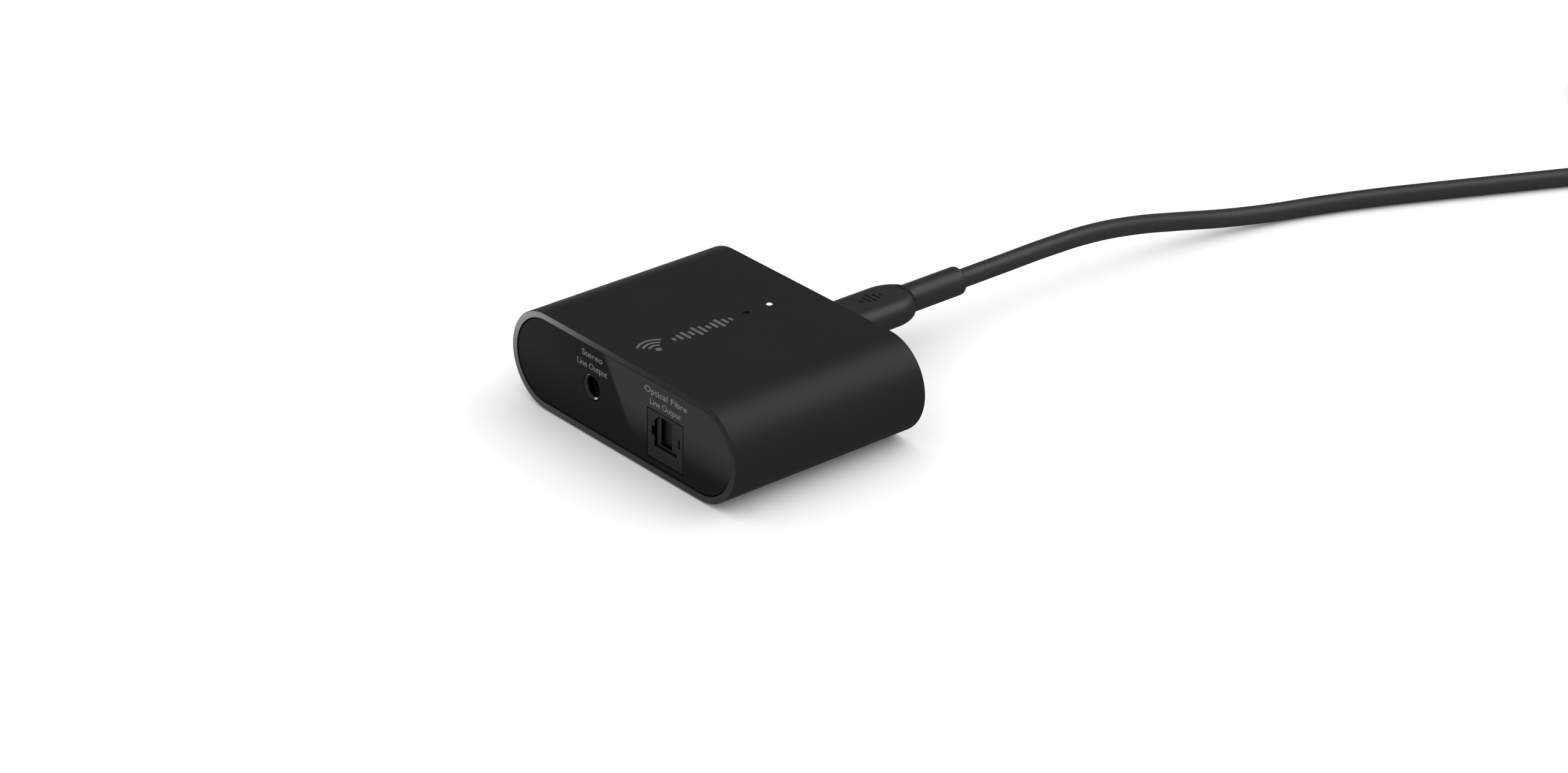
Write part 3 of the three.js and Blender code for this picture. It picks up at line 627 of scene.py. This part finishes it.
def make_jack(M):
    b, R, y = 1.85, 2.5, YF - 0.03
    p = [(b, PANEL_T + 0.1), (b, 0.85)]
    for i in range(5):                                    # hollow countersink
        a = math.pi / 2 * i / 4
        p.append((b + 0.46 * (1 - math.cos(a)), 0.85 - 0.78 * math.sin(a)))
    p += [(2.34, 0.0)]
    for i in range(1, 5):
        a = math.pi / 2 * i / 4
        p.append((R - 0.12 + 0.12 * math.sin(a), 0.12 - 0.12 * math.cos(a)))
    p += [(R, PANEL_T + 0.1)]
    o = lathe("audio_jack_ring", p, (JACK[0], y, JACK[1]), "y", 96)
    settle(o, M["dark_nickel"], "receiver", ["audio_jack_bush"], angle=50)

    y0 = YF + PANEL_T + 0.25
    y1 = y0 + 11.6
    jx, jz = JACK
    o = box("audio_jack_barrel", jx - 3.15, jx + 3.15, y0, y1, jz - 3.0, jz + 3.0)
    soften(o, 0.25, 3)
    cut(o, lathe("cut", [(0, y0 - 1), (1.85, y0 - 1), (1.85, y1 - 0.8), (0, y1 - 0.8)], (jx, 0, jz), "y", 64))
    for yy in (y0 + 1.0, y0 + 5.4, y0 + 9.0):
        cut(o, box("cut", jx - 0.6, jx + 0.6, yy - 0.6, yy + 0.6, jz + 1, jz + 5))
    settle(o, M["port"], "receiver", ["audio_jack_body"], angle=40)


def make_optical(M):
    x, z, w, h = OPT["x"], OPT["z"], OPT["w"], OPT["h"]
    x0, x1, z0, z1 = x - w / 2, x + w / 2, z - h / 2, z + h / 2
    shoulder, back = YF + 1.7, YF + 12.4
    ox0, ox1, oz0, oz1, c, nz0, nz1, nt = 9.27, 15.57, 5.47, 11.92, 1.25, 7.57, 9.42, 0.8
    o = extrude_y("optical_port_body", bar(w, h, x, z, 4, 0.2), YF, shoulder + 0.1)
    join(o, box("t", x0, 17.82, shoulder, back, z0, z1))
    mouth = [(ox0, oz0), (ox1, oz0), (ox1, nz0), (ox1 + nt, nz0), (ox1 + nt, nz1), (ox1, nz1), (ox1, oz1 - c), (ox1 - c, oz1),
             (ox0 + c, oz1), (ox0, oz1 - c), (ox0, nz1), (ox0 - nt, nz1), (ox0 - nt, nz0), (ox0, nz0)]
    e = 0.03
    inner = [(px + (e if px < 12 else -e), pz + (e if pz < 7 else -e if pz > 10 else 0.0)) for px, pz in mouth]
    cut(o, extrude_y("cut", mouth, YF - 1, YF + 0.36))
    cut(o, extrude_y("cut", inner, YF + 0.3, YF + 9.5))
    cut(o, box("cut", ox0, 18.07, YF + 0.45, shoulder - 0.05, oz0, oz1 - 0.05))
    cut(o, box("cut", ox0, 17.32, shoulder - 0.1, YF + 8.8, oz0, oz1 - 0.05))
    cut(o, box("cut", 9.57, 15.27, YF + 9.0, back + 1, 5.72, 11.72))
    cut(o, lathe("cut", [(0, z0 + 1.6), (0.52, z0 + 1.6), (0.52, z1 + 1), (0, z1 + 1)], (16.37, YF + 1.4, 0), n=24))
    soften(o, 0.07, 2, 40)
    settle(o, M["port"], "receiver", ["optical_port_housing"], angle=40)
    # the inside of the mouth behind its front lip is painted near-black: painted shade in the opening
    darken(o, M["deep"], lambda c, nn: c[1] > YF + 0.12 and not (c[1] < YF + 0.6 and nn[2] > 0.5) and ox0 - nt - 0.05 < c[0] < ox1 + nt + 0.05 and oz0 - 0.05 < c[2] < oz1 + 0.05)

    # a thin dark strip along the right edge of the mouth: a painted shadow line
    darken(o, M["pocket"], lambda c, nn: ox1 - 0.02 < c[0] < ox1 + 0.09 and nz1 < c[2] < oz1 - 1.1 and c[1] < YF + 0.1 and nn[0] < -0.2, 2)

    d = box("optical_port_door", 9.42, 16.32, YF + 0.5, YF + 1.9, 5.62, 11.72)
    join(d, lathe("t", [(0, 5.62), (0.7, 5.62), (0.7, 11.72), (0, 11.72)], (16.37, YF + 1.4, 0), n=32))
    cut(d, box("cut", 10.57, 13.57, YF - 0.5, YF + 1.3, 6.02, 12.7))
    cut(d, box("cut", 15.37, 18.37, YF - 0.5, YF + 3.5, 7.52, 9.52))
    cut(d, lathe("cut", [(0, 0), (0.52, 0), (0.52, 20), (0, 20)], (16.37, YF + 1.4, 0), n=24))
    soften(d, 0.06, 2, 40)
    settle(d, M["port"], "shutter", ["optical_port_shutter"], angle=40)
    # the side walls of the door's pocket are painted near-black and its floor dim: painted shade in the recess
    darken(d, M["deep"], lambda c, nn: c[1] > YF + 0.58 and abs(nn[1]) < 0.5)
    darken(d, M["pocket"], lambda c, nn: nn[1] < -0.9 and c[1] > YF + 0.9 and 10.5 < c[0] < 13.7, 2)


def make_spring(M):
    """Torsion spring of the shutter: close-wound turns with a fixed leg, and the arm that follows the door."""
    ax, ay, wire, z0, turns = 16.37, YF + 1.4, 0.12, 7.67, 7
    p = [(0.5, z0), (0.66, z0)]
    for i in range(turns):
        zc = z0 + (i + 0.5) * 1.7 / turns
        for k in range(1, 6):
            a = math.radians(-90 + 30 * k)
            p.append((0.66 + wire * math.cos(a), zc + wire * math.sin(a)))
    p += [(0.66, z0 + 1.7), (0.5, z0 + 1.7), (0.5, z0)]
    o = lathe("shutter_spring_turns", p, (ax, ay, 0), n=32)
    join(o, box("leg", ax + 0.52, ax + 0.76, ay, ay + 3.4, 7.7, 7.9))
    settle(o, M["steel"], "receiver", ["shutter_spring"], angle=40)
    o = box("shutter_spring_arm", ax - 3.2, ax - 0.56, ay + 0.62, ay + 0.77, 9.14, 9.34)
    soften(o, 0.03, 2)
    # the arm wears the painted-shade black instead of steel
    settle(o, M["deep"], "shutter", ["shutter_spring"], angle=40)


def make_usb(M):
    def tube(name, w, h, wall, y0, y1, n=14, floor=None):
        e = 0.06
        outer = lambda d: bar(w - 2 * d, h - 2 * d, 0, USBZ, n)
        rings = []
        prof = [(e, y0), (0, y0 + e), (0, y1 - e), (e, y1), (wall - e, y1), (wall, y1 - e)]
        if floor is None:
            prof += [(wall, y0 + e), (wall - e, y0)]
            for d, y in prof:
                rings.append([(x, y, z) for x, z in outer(d)])
            return loft(name, rings, closed=True)
        prof = [(e, y1), (0, y1 - e), (0, y0 + e), (e, y0), (wall - e, y0), (wall, y0 + e), (wall, floor)]
        for d, y in prof:
            rings.append([(x, y, z) for x, z in outer(d)])
        return loft(name, rings)
    o = tube("usb_socket_shell", 8.94, 3.16, 0.22, 14.3, 21.9)
    settle(o, M["nickel"], "receiver", ["usb_inlet_shell"], angle=40)
    o = tube("plug_metal_shell", 8.25, 2.4, 0.3, 16.25, 22.99, floor=16.25 + 5.3)
    settle(o, M["nickel"], "power_lead", ["lead_plug_shell"], angle=40)


def oval(w, h, y, n=96, z=USBZ):
    """Half-round bar section across Y, starting between two points so that all rings match."""
    r, out = min(w, h) / 2, []
    for k in range(n):
        a = 2 * math.pi * (k + 0.5) / n
        c = math.cos(a)
        sx = (1 if c > 0 else -1) * max((w - h) / 2, 0)
        out.append((sx + r * c, y, z + h / 2 * math.sin(a)))
    return out


def make_plug(M):
    y0, y1, seam, neck = 23.0, 41.1, 45.28, 47.1
    w, h, span = 11.25, 5.72, 5.2

    def k(t):
        return max(0.0, 1 - t ** 1.8) ** (1 / 1.8)

    def wat(y):
        return 5.4 + (w - 5.4) * k((y - y1) / span) if y > y1 else w
    rings = []
    e = 0.45
    for i in range(7):                                    # rolled front edge
        a = math.pi / 2 * i / 6
        d = e * (1 - math.sin(a))
        rings.append(oval(w - 2 * d, h - 2 * d, y0 + e - e * math.cos(a)))
    for y in (26, 30, 34, 38, 40.5):
        rings.append(oval(w, h, y))
    for i in range(0, 15):
        y = y1 + (seam - 0.1 - y1) * i / 14
        rings.append(oval(wat(y), h, y))
    rings.append(oval(wat(seam) - 0.04, h - 0.06, seam - 0.03))
    rings.append(oval(wat(seam) - 0.16, h - 0.2, seam))
    rings.append(oval(wat(seam) - 1.1, h - 1.1, seam + 0.01))   # inner neck at the foot of the seam groove
    rings.append(oval(wat(seam) - 1.1, h - 1.1, 45.49))
    o = loft("plug_overmould", rings)
    # shallow sunk marks: five short bars of uneven length, like a level meter
    for i, l in enumerate((0.55, 1.15, 1.75, 1.15, 0.55)):
        cx, cy = -0.1, 35.2 + 1.25 * i
        t = extrude_z("cut", bar(2 * l, 0.62, cx, cy, 6, 0.3), USBZ + h / 2 - 0.16, USBZ + h / 2 + 1)
        cut(o, t)
    settle(o, M["grip"], "power_lead", ["lead_plug_grip"], angle=38)

    rings = [oval(wat(45.5) - 0.16, h - 0.2, 45.5), oval(wat(45.55) - 0.03, h - 0.05, 45.54)]
    for i in range(1, 11):
        y = 45.55 + (neck - 45.55) * i / 10
        t = i / 10
        rings.append(oval(max(h, wat(y)), h, y))
    for i in range(1, 9):
        t = i / 8
        d = h + (5.71 - h) * t * t * (3 - 2 * t)
        rings.append(oval(d, d, neck + 0.6 * t))
    rings.append(oval(5.71, 5.71, 54))
    rings.append(oval(5.71, 5.71, 59.3))
    for i in range(1, 9):
        a = math.pi / 2 * i / 8
        d = 4.05 + (5.71 - 4.05) * math.cos(a)
        rings.append(oval(d, d, 59.3 + 0.75 * math.sin(a)))
    o = loft("plug_strain_relief", rings)
    settle(o, M["grip"], "power_lead", ["lead_strain_relief"], angle=38)


def make_far_end(M):
    cx, cy = COIL
    yf, zf, xs = cy + R_OUT, 4.05, cx - 17.5

    def ring(d, w, h, n=72):
        out = []
        r = min(w, h) / 2
        for k in range(n):
            a = 2 * math.pi * (k + 0.5) / n
            c = math.cos(a)
            sx = (1 if c > 0 else -1) * max((w - h) / 2, 0)
            out.append((xs - d, yf + sx + r * c, zf + h / 2 * math.sin(a)))
        return out
    rings = [ring(0, 4.1, 4.1), ring(0.12, 4.5, 4.5)]
    for i in range(1, 9):
        t = i / 8
        d = 4.7 + 1.9 * math.sin(t * math.pi / 2)
        rings.append(ring(0.12 + 8.28 * t, d, d))
    rings += [ring(8.41, 5.4, 5.4), ring(8.69, 5.4, 5.4)]       # neck into the grip
    o = loft("far_plug_relief", rings)
    settle(o, M["grip"], "power_lead", ["far_strain_relief"], z=0, angle=40)
    b = 8.7
    rings = [ring(b, 7.8, 6.4), ring(b + 0.1, 8.4, 6.8)]
    for d, w, h in ((0.5, 10.6, 7.3), (1.2, 12.6, 7.7), (2.2, 14.2, 7.95), (3.4, 15.2, 8), (4.6, 15.6, 8), (12, 15.6, 8), (21.2, 15.6, 8), (21.6, 15.45, 7.9), (21.9, 15.0, 7.5), (22, 14.4, 7.0)):
        rings.append(ring(b + d, w, h))
    o = loft("far_plug_overmould", rings)
    settle(o, M["grip"], "power_lead", ["far_plug_grip"], z=0, angle=40)
    ya = xs - (b + 22 + 0.25)
    yb = ya - 11.7
    o = box("far_plug_metal", yb, ya + 0.24, yf - 6.0, yf + 6.0, zf - 2.25, zf + 2.25)
    soften(o, 0.3, 3)
    cut(o, box("cut", yb - 1, ya - 0.6, yf - 5.7, yf + 5.7, zf - 1.95, zf + 1.95))
    for sy in (-2.9, 2.9):                                # latch windows
        for zz in (zf + 2.1,):
            cut(o, box("cut", yb + 5.0, yb + 7.4, yf + sy - 1.15, yf + sy + 1.15, zz - 0.6, zz + 0.6))
    soften(o, 0.05, 2, 50)
    settle(o, M["nickel"], "power_lead", ["far_plug_shell"], z=0, angle=40)
    o = box("far_plug_insert", yb + 0.4, ya - 0.8, yf - 5.5, yf + 5.5, zf - 1.75, zf + 0.05)
    soften(o, 0.12, 2)
    settle(o, M["chip"], "power_lead", ["far_plug_tongue"], z=0, angle=40)


def make_tie(M):
    cx, cy = COIL
    r = CORD_D / 2
    xa, xb = cx - R_OUT - r - 0.45, cx - R_IN + r + 1.1
    z_lo, z_hi, t = 0.62, REST + 3.9 + 0.6 + r + 0.2, 0.5
    path = []
    # rounded strap round the stack, seen along Y
    rad = 2.2
    pts = bar(xb - xa, z_hi - z_lo, (xa + xb) / 2, (z_lo + z_hi) / 2, 10, rad)
    inner = bar(xb - xa - 0.0, z_hi - z_lo, (xa + xb) / 2, (z_lo + z_hi) / 2, 10, rad)
    outer = bar(xb - xa + 2 * t, z_hi - z_lo + 2 * t, (xa + xb) / 2, (z_lo + z_hi) / 2, 10, rad + t)
    rings = []
    e = 0.12
    y0, y1 = cy - 4, cy + 4
    prof = [(0, e, y0), (0, 0, y0 + e), (0, 0, y1 - e), (0, e, y1), (1, -e, y1), (1, 0, y1 - e), (1, 0, y0 + e), (1, -e, y0)]
    for side, d, y in prof:
        if side == 0:
            o2 = bar(xb - xa + 2 * (t - d), z_hi - z_lo + 2 * (t - d), (xa + xb) / 2, (z_lo + z_hi) / 2, 10, rad + t - d)
        else:
            o2 = bar(xb - xa - 2 * d, z_hi - z_lo - 2 * d, (xa + xb) / 2, (z_lo + z_hi) / 2, 10, rad - d)
        rings.append([(x, y, z) for x, z in o2])
    o = loft("coil_tie_strap", rings, closed=True)
    # free end of the strap lying on top of itself
    tab = loft("t", [[(x, y, z) for x, y, z in ((xa + 8, yy, z_hi + t - 0.05), (xa + 8, yy, z_hi + t + 0.45), (xa + 18, yy, z_hi + t + 0.5), (xa + 18.5, yy, z_hi + t + 0.12), (xa + 18, yy, z_hi + t - 0.05))] for yy in (y0 + 0.15, y1 - 0.15)])
    join(o, tab)
    settle(o, M["tie"], "power_lead", ["cord_tie"], z=0, angle=40)


# ------------------------------------------------------------------ printed marks
def print_text(name, text, size, x, z, mat, width=None):
    """Thin printed line of plain lettering on the front panel, centred on x, baseline at z."""
    cu = bpy.data.curves.new(name, "FONT")
    cu.body, cu.size, cu.align_x = text, size, "CENTER"
    cu.resolution_u = 6
    cu.extrude = 0.012
    cu.offset = 0.012
    o = bpy.data.objects.new(name, cu)
    bpy.context.scene.collection.objects.link(o)
    dg = bpy.context.evaluated_depsgraph_get()
    me = bpy.data.meshes.new_from_object(o.evaluated_get(dg), depsgraph=dg)
    bpy.data.objects.remove(o)
    co = np.array([v.co for v in me.vertices])
    if width:
        co[:, 0] *= width / (co[:, 0].max() - co[:, 0].min())
    co[:, 0] -= (co[:, 0].max() + co[:, 0].min()) / 2
    out = np.stack([x + co[:, 0], YF - 0.006 - co[:, 2], z + co[:, 1]], 1)
    me.vertices.foreach_set("co", out.astype(np.float32).ravel())
    me.update()
    o = bpy.data.objects.new(name, me)
    bpy.context.scene.collection.objects.link(o)
    return settle(o, mat, "receiver", smooth=False)


def make_marks(M):
    for name, text, x, z, w in (("jack_label_upper", "Stereo", JACK[0], 15.75, 5.9), ("jack_label_lower", "Line Output", JACK[0], 13.53, 8.66),
                                ("optical_label_upper", "Optical Fibre", 12.37, 15.62, 11.9), ("optical_label_lower", "Line Output", 12.28, 13.5, 8.56)):
        print_text(name, text, 1.68, x, z, M["label"], w)
    # top mark: a row of level bars, then three arcs over a dot
    h = 0.02
    parts = []
    heights = (1.2, 2.1, 3.1, 1.9, 3.7, 2.7, 1.5, 2.4, 3.4, 2.0, 1.3)
    for i, l in enumerate(heights):
        y = -10.6 + i * 1.33
        parts.append(extrude_z("bar", bar(l, 0.66, 0.5, y, 6, 0.33), H - 0.01, H + h))
    cx, cy = 1.9, -15.3
    parts.append(lathe("dot", [(0, H - 0.01), (0.62, H - 0.01), (0.62, H + h), (0, H + h)], (cx, cy, 0), n=32))
    for r in (1.7, 2.8, 3.9):
        t, seg = 0.5, 24
        a0, a1 = math.radians(135), math.radians(225)
        ring = []
        for i in range(seg + 1):
            a = a0 + (a1 - a0) * i / seg
            ring.append((cx + (r + t / 2) * math.cos(a), cy + (r + t / 2) * math.sin(a)))
        for i in range(seg + 1):
            a = a1 + (a0 - a1) * i / seg
            ring.append((cx + (r - t / 2) * math.cos(a), cy + (r - t / 2) * math.sin(a)))
        parts.append(extrude_z("arc", ring, H - 0.01, H + h))
    verts, faces = [], []
    for p in parts:
        n = len(verts)
        verts += [tuple(v.co) for v in p.data.vertices]
        faces += [tuple(n + i for i in f.vertices) for f in p.data.polygons]
        bpy.data.objects.remove(p)
    o = new("top_level_mark", verts, faces)
    settle(o, M["ink"], "receiver", smooth=False)


def make_top_fittings(M):
    r, z = 0.545, 10.3 + 0.9
    p = [(0, z), (r, z), (r, 16.9), (1.5, 16.9), (1.5, 17.9), (r, 17.9), (r, H - 0.16)]
    for i in range(1, 5):
        a = math.pi / 2 * i / 4
        p.append((r - 0.14 + 0.14 * math.cos(a), H - 0.16 + 0.14 * math.sin(a)))
    p.append((0, H - 0.01))
    o = lathe("status_light_window", p, (LED[0], LED[1], 0), n=48)
    settle(o, M["glow"], "receiver", ["status_light_pipe"], angle=40)
    darken(o, M["lens"], lambda c, nn: c[2] < H - 0.5)
    z = 10.3 + 1.1
    p = [(0, z), (0.85, z), (0.85, 16.9), (1.1, 17.2), (1.1, 17.9)]
    p += [(0.6, 17.88), (0.35, 17.7), (0.0, 17.6)]
    o = lathe("reset_plunger", p, (RESET[0], RESET[1], 0), n=40)
    # the plunger wears the painted-shade black so the hole reads dark: painted shade in the hole
    settle(o, M["deep"], "reset_button", ["reset_button"], angle=40)


def dress_nodes(M):
    by_slot = {"foot_rubber": "foot", "tray_grey": "tray", "board_green": "board", "steel": "steel", "gold_contact": "gold", "port_black": "port",
               "chip_black": "chip", "lens_clear": "lens", "led_white": "glow", "can_metal": "can", "chip_ceramic": "ceramic", "nickel": "nickel",
               "panel_black": "panel", "shell_black": "shell", "light_clear": "glow", "tie_black": "tie", "lead_black": "lead", "grip_black": "grip"}
    slots = {s["node"]: s["material_slot"] for s in frame["record"]["subparts"]}
    for name, o in frame["nodes"].items():
        mat = M[by_slot[slots[name]]]
        if not o.material_slots:
            o.data.materials.append(mat)
        for s in o.material_slots:
            s.material = mat


# ------------------------------------------------------------------ stage
def area(name, at, to, size, power, colour=(1, 1, 1), spread=math.pi):
    l = bpy.data.lights.new(name, "AREA")
    l.shape = "RECTANGLE"
    l.size, l.size_y = size
    l.energy = power
    l.color = colour
    l.spread = spread
    o = bpy.data.objects.new(name, l)
    o.location = at
    d = Vector(to) - Vector(at)
    o.rotation_euler = d.to_track_quat("-Z", "Y").to_euler()
    bpy.context.scene.collection.objects.link(o)
    return o


def softbox(name, direction, distance, size, radiance, to=(0, 0, 0.01)):
    """Area light of a given brightness: a flat emitter of w by h metres gives radiance = power / (pi * w * h)."""
    d = Vector(direction).normalized()
    t = Vector(to)
    return area(name, t + d * distance, t, size, radiance * math.pi * size[0] * size[1])


def card(name, corners, build, only=None, faces=None):
    """Flat lit card that shows in reflections alone; build(mat) gives its brightness, only names the pieces that see it."""
    o = new(name, corners, faces or [tuple(range(len(corners)))])
    o.data.transform(Matrix.Scale(0.001, 4))
    m = Mat(name)
    m.nt.nodes.remove(m.b)
    e = m.node("ShaderNodeEmission")
    v = build(m)
    if isinstance(v, float):
        e.inputs["Strength"].default_value = v
    else:
        m.link(v, e.inputs["Strength"])
    clear, both = m.node("ShaderNodeBsdfTransparent"), m.node("ShaderNodeAddShader")
    m.link(e.outputs[0], both.inputs[0])
    m.link(clear.outputs[0], both.inputs[1])
    m.link(both.outputs[0], m.out.inputs[0])
    m.m.cycles.emission_sampling = "NONE"
    o.data.materials.append(m.m)
    o.visible_camera = o.visible_diffuse = o.visible_shadow = o.visible_transmission = False
    if only:
        c = bpy.data.collections.new(name + "_sees")
        for n in only:
            c.objects.link(bpy.data.objects[n])
        o.light_linking.receiver_collection = c
    return o


def along(m, vec, offset):
    """Distance in millimetres along a direction in the plane, from an offset."""
    d = m.node("ShaderNodeVectorMath", operation="DOT_PRODUCT")
    m.link(m.coord, d.inputs[0])
    d.inputs[1].default_value = [1000 * v for v in vec]
    a = m.node("ShaderNodeMath", operation="ADD")
    m.link(d.outputs["Value"], a.inputs[0])
    a.inputs[1].default_value = offset
    return a.outputs[0]


def cards():
    face = ["front_port_panel", "optical_port_body", "optical_port_door", "jack_label_upper", "jack_label_lower",
            "optical_label_upper", "optical_label_lower"]
    edge = lambda y: -11.4 + (y + 32.4) * 1.7778
    grey3 = lambda v: (v, v, v)

    def bright(m):
        y = along(m, (0, -1, 0), 0.0)
        t = m.node("ShaderNodeMapRange")
        t.inputs["From Min"].default_value, t.inputs["From Max"].default_value = 26.1, 38.1
        m.link(y, t.inputs["Value"])
        return m.ramp(t.outputs[0], [(p, grey3(v * CARD)) for p, v in ((0.2, 0.0), (0.317, 0.045), (0.39, 0.1), (0.475, 0.174), (0.55, 0.2), (0.625, 0.26), (0.71, 0.28), (0.79, 0.31), (0.87, 0.355), (1.0, 0.36))])

    def dim(m):
        y = along(m, (0, -1, 0), 0.0)
        u = along(m, (1, -1.316, 0), -29.4)
        a, b = m.node("ShaderNodeMapRange"), m.node("ShaderNodeMapRange")
        for n, v in ((a, (26.1, 37.0, 0.0, 1.0)), (b, (-28.0, -3.0, 0.15 * CARD, 0.04 * CARD))):
            for k, x in zip(("From Min", "From Max", "To Min", "To Max"), v):
                n.inputs[k].default_value = x
        m.link(y, a.inputs["Value"])
        m.link(u, b.inputs["Value"])
        p = m.node("ShaderNodeMath", operation="MULTIPLY")
        m.link(a.outputs[0], p.inputs[0])
        m.link(b.outputs[0], p.inputs[1])
        return p.outputs[0]
    card("panel_card_right", [(edge(-26), -26, -0.2), (90, -26, -0.2), (90, -120, -0.2), (edge(-120), -120, -0.2)], bright, face)
    card("panel_card_left", [(edge(-26), -26, -0.2), (edge(-120), -120, -0.2), (-300, -120, -0.2), (-150, -26, -0.2)], dim, face)

    # small soft lamp low on the left, for the polished edge
    cam = Vector((513.3, -433.5, 352.4))
    p = Vector((-28.2, -D / 2, 17.7 + FOOT))
    r = p - cam
    r.y = -r.y
    r.normalize()
    c = p + r * 60
    e1 = r.cross(Vector((0, 0, 1))).normalized()
    e2 = e1.cross(r)

    def lamp(m):
        d = m.node("ShaderNodeVectorMath", operation="DISTANCE")
        m.link(m.coord, d.inputs[0])
        d.inputs[1].default_value = c * 0.001
        k = m.node("ShaderNodeMath", operation="MULTIPLY")
        m.link(d.outputs["Value"], k.inputs[0])
        k.inputs[1].default_value = -1000 / 5.8
        x = m.node("ShaderNodeMath", operation="EXPONENT")
        m.link(k.outputs[0], x.inputs[0])
        g = m.node("ShaderNodeMath", operation="MULTIPLY_ADD")
        m.link(x.outputs[0], g.inputs[0])
        g.inputs[1].default_value = RIM
        low = m.node("ShaderNodeMapRange")                # a little more towards the bottom
        for n, v in (("From Min", -8.0), ("From Max", -15.0), ("To Min", 0.11), ("To Max", 0.34)):
            low.inputs[n].default_value = v
        al = r.z * r.x / (1 - r.x ** 2)
        q = Vector((al, 0, 1)) / (1 - r.z ** 2 - al * r.x * r.z)
        m.link(along(m, q, -c.dot(q)), low.inputs["Value"])
        m.link(low.outputs[0], g.inputs[2])
        return g.outputs[0]
    s = 90
    card("edge_card", [c + e1 * s + e2 * s, c - e1 * s + e2 * s, c - e1 * s - e2 * s, c + e1 * s - e2 * s], lamp, ["housing_front_edge"])

    # window of light for the plated ring
    d = Vector((-0.975, -0.16, 0.15)).normalized()
    b = Vector((JACK[0], YF, JACK[1])) + d * 100
    u = d.cross(Vector((0, 0, 1))).normalized()
    w = u.cross(d)
    card("ring_card", [b + u * 16 + w * 22, b - u * 16 + w * 22, b - u * 16 - w * 22, b + u * 16 - w * 22], lambda m: RING, ["audio_jack_ring"])

    # pale tent round the plated connectors
    a, b, c, d, z0, z1 = -500, 500, -500, 800, -1.0, 600
    v = [(a, c, z0), (b, c, z0), (b, d, z0), (a, d, z0), (a, c, z1), (b, c, z1), (b, d, z1), (a, d, z1)]

    def tent(m):
        t = m.node("ShaderNodeMapRange")
        for n, x in (("From Min", 0.0), ("From Max", 600.0), ("To Min", 0.25), ("To Max", 0.75)):
            t.inputs[n].default_value = x
        m.link(along(m, (0, 0, 1), 0.0), t.inputs["Value"])
        return t.outputs[0]
    card("metal_tent", v, tent, ["usb_socket_shell", "plug_metal_shell", "far_plug_metal"],
         [(0, 1, 2, 3), (4, 5, 6, 7), (0, 1, 5, 4), (1, 2, 6, 5), (2, 3, 7, 6), (3, 0, 4, 7)])

    # pale band low behind the left side
    d = Vector((-0.8, 0.586, 0)).normalized()
    side = Vector((-d.y, d.x, 0))
    b = d * 600
    card("back_card", [b + side * 450 + Vector((0, 0, 70)), b - side * 450 + Vector((0, 0, 70)), b - side * 450 - Vector((0, 0, 260)), b + side * 450 - Vector((0, 0, 260))],
         lambda m: BACK)


def stage():
    s = 3.0
    floor = new("floor", [(-s, -s, 0), (s, -s, 0), (s, s, 0), (-s, s, 0)], [(0, 1, 2, 3)])
    m = Mat("floor_white")
    n = m.noise(3, 2, 0.5)
    m.to(m.ramp(n, [(0.3, (0.87, 0.87, 0.87)), (0.7, (0.88, 0.88, 0.88))]), "Base Color")
    m.set(rough=1.0, spec=0.0)
    floor.data.materials.append(m.m)
    floor.visible_glossy = False

    world = bpy.data.worlds.new("studio")
    bpy.context.scene.world = world
    world.use_nodes = True
    nt = world.node_tree
    bg = nt.nodes["Background"]
    bg.inputs[0].default_value = (1, 1, 1, 1)
    path = nt.nodes.new("ShaderNodeLightPath")
    mix = nt.nodes.new("ShaderNodeMix")
    mix.name = "sky_mix"
    mix.data_type = "FLOAT"
    mix.inputs[2].default_value = SKY
    mix.inputs[3].default_value = SHEEN_SKY
    nt.links.new(path.outputs["Is Glossy Ray"], mix.inputs[0])
    nt.links.new(mix.outputs[0], bg.inputs[1])

    softbox("key", (0.334, 0.586, 0.738), 0.9, (0.72, 0.72), KEY)
    cards()
    bpy.context.scene.view_settings.view_transform = "Standard"
    bpy.context.scene.view_settings.look = "None"


# ------------------------------------------------------------------ build
camera()
M = build_materials()
lead = make_cord(M)
make_sleeve(M)
make_panels(M)
make_jack(M)
make_optical(M)
make_spring(M)
make_usb(M)
make_plug(M)
make_far_end(M)
make_tie(M)
make_marks(M)
make_top_fittings(M)
dress_nodes(M)
stage()
bpy.context.view_layer.update()
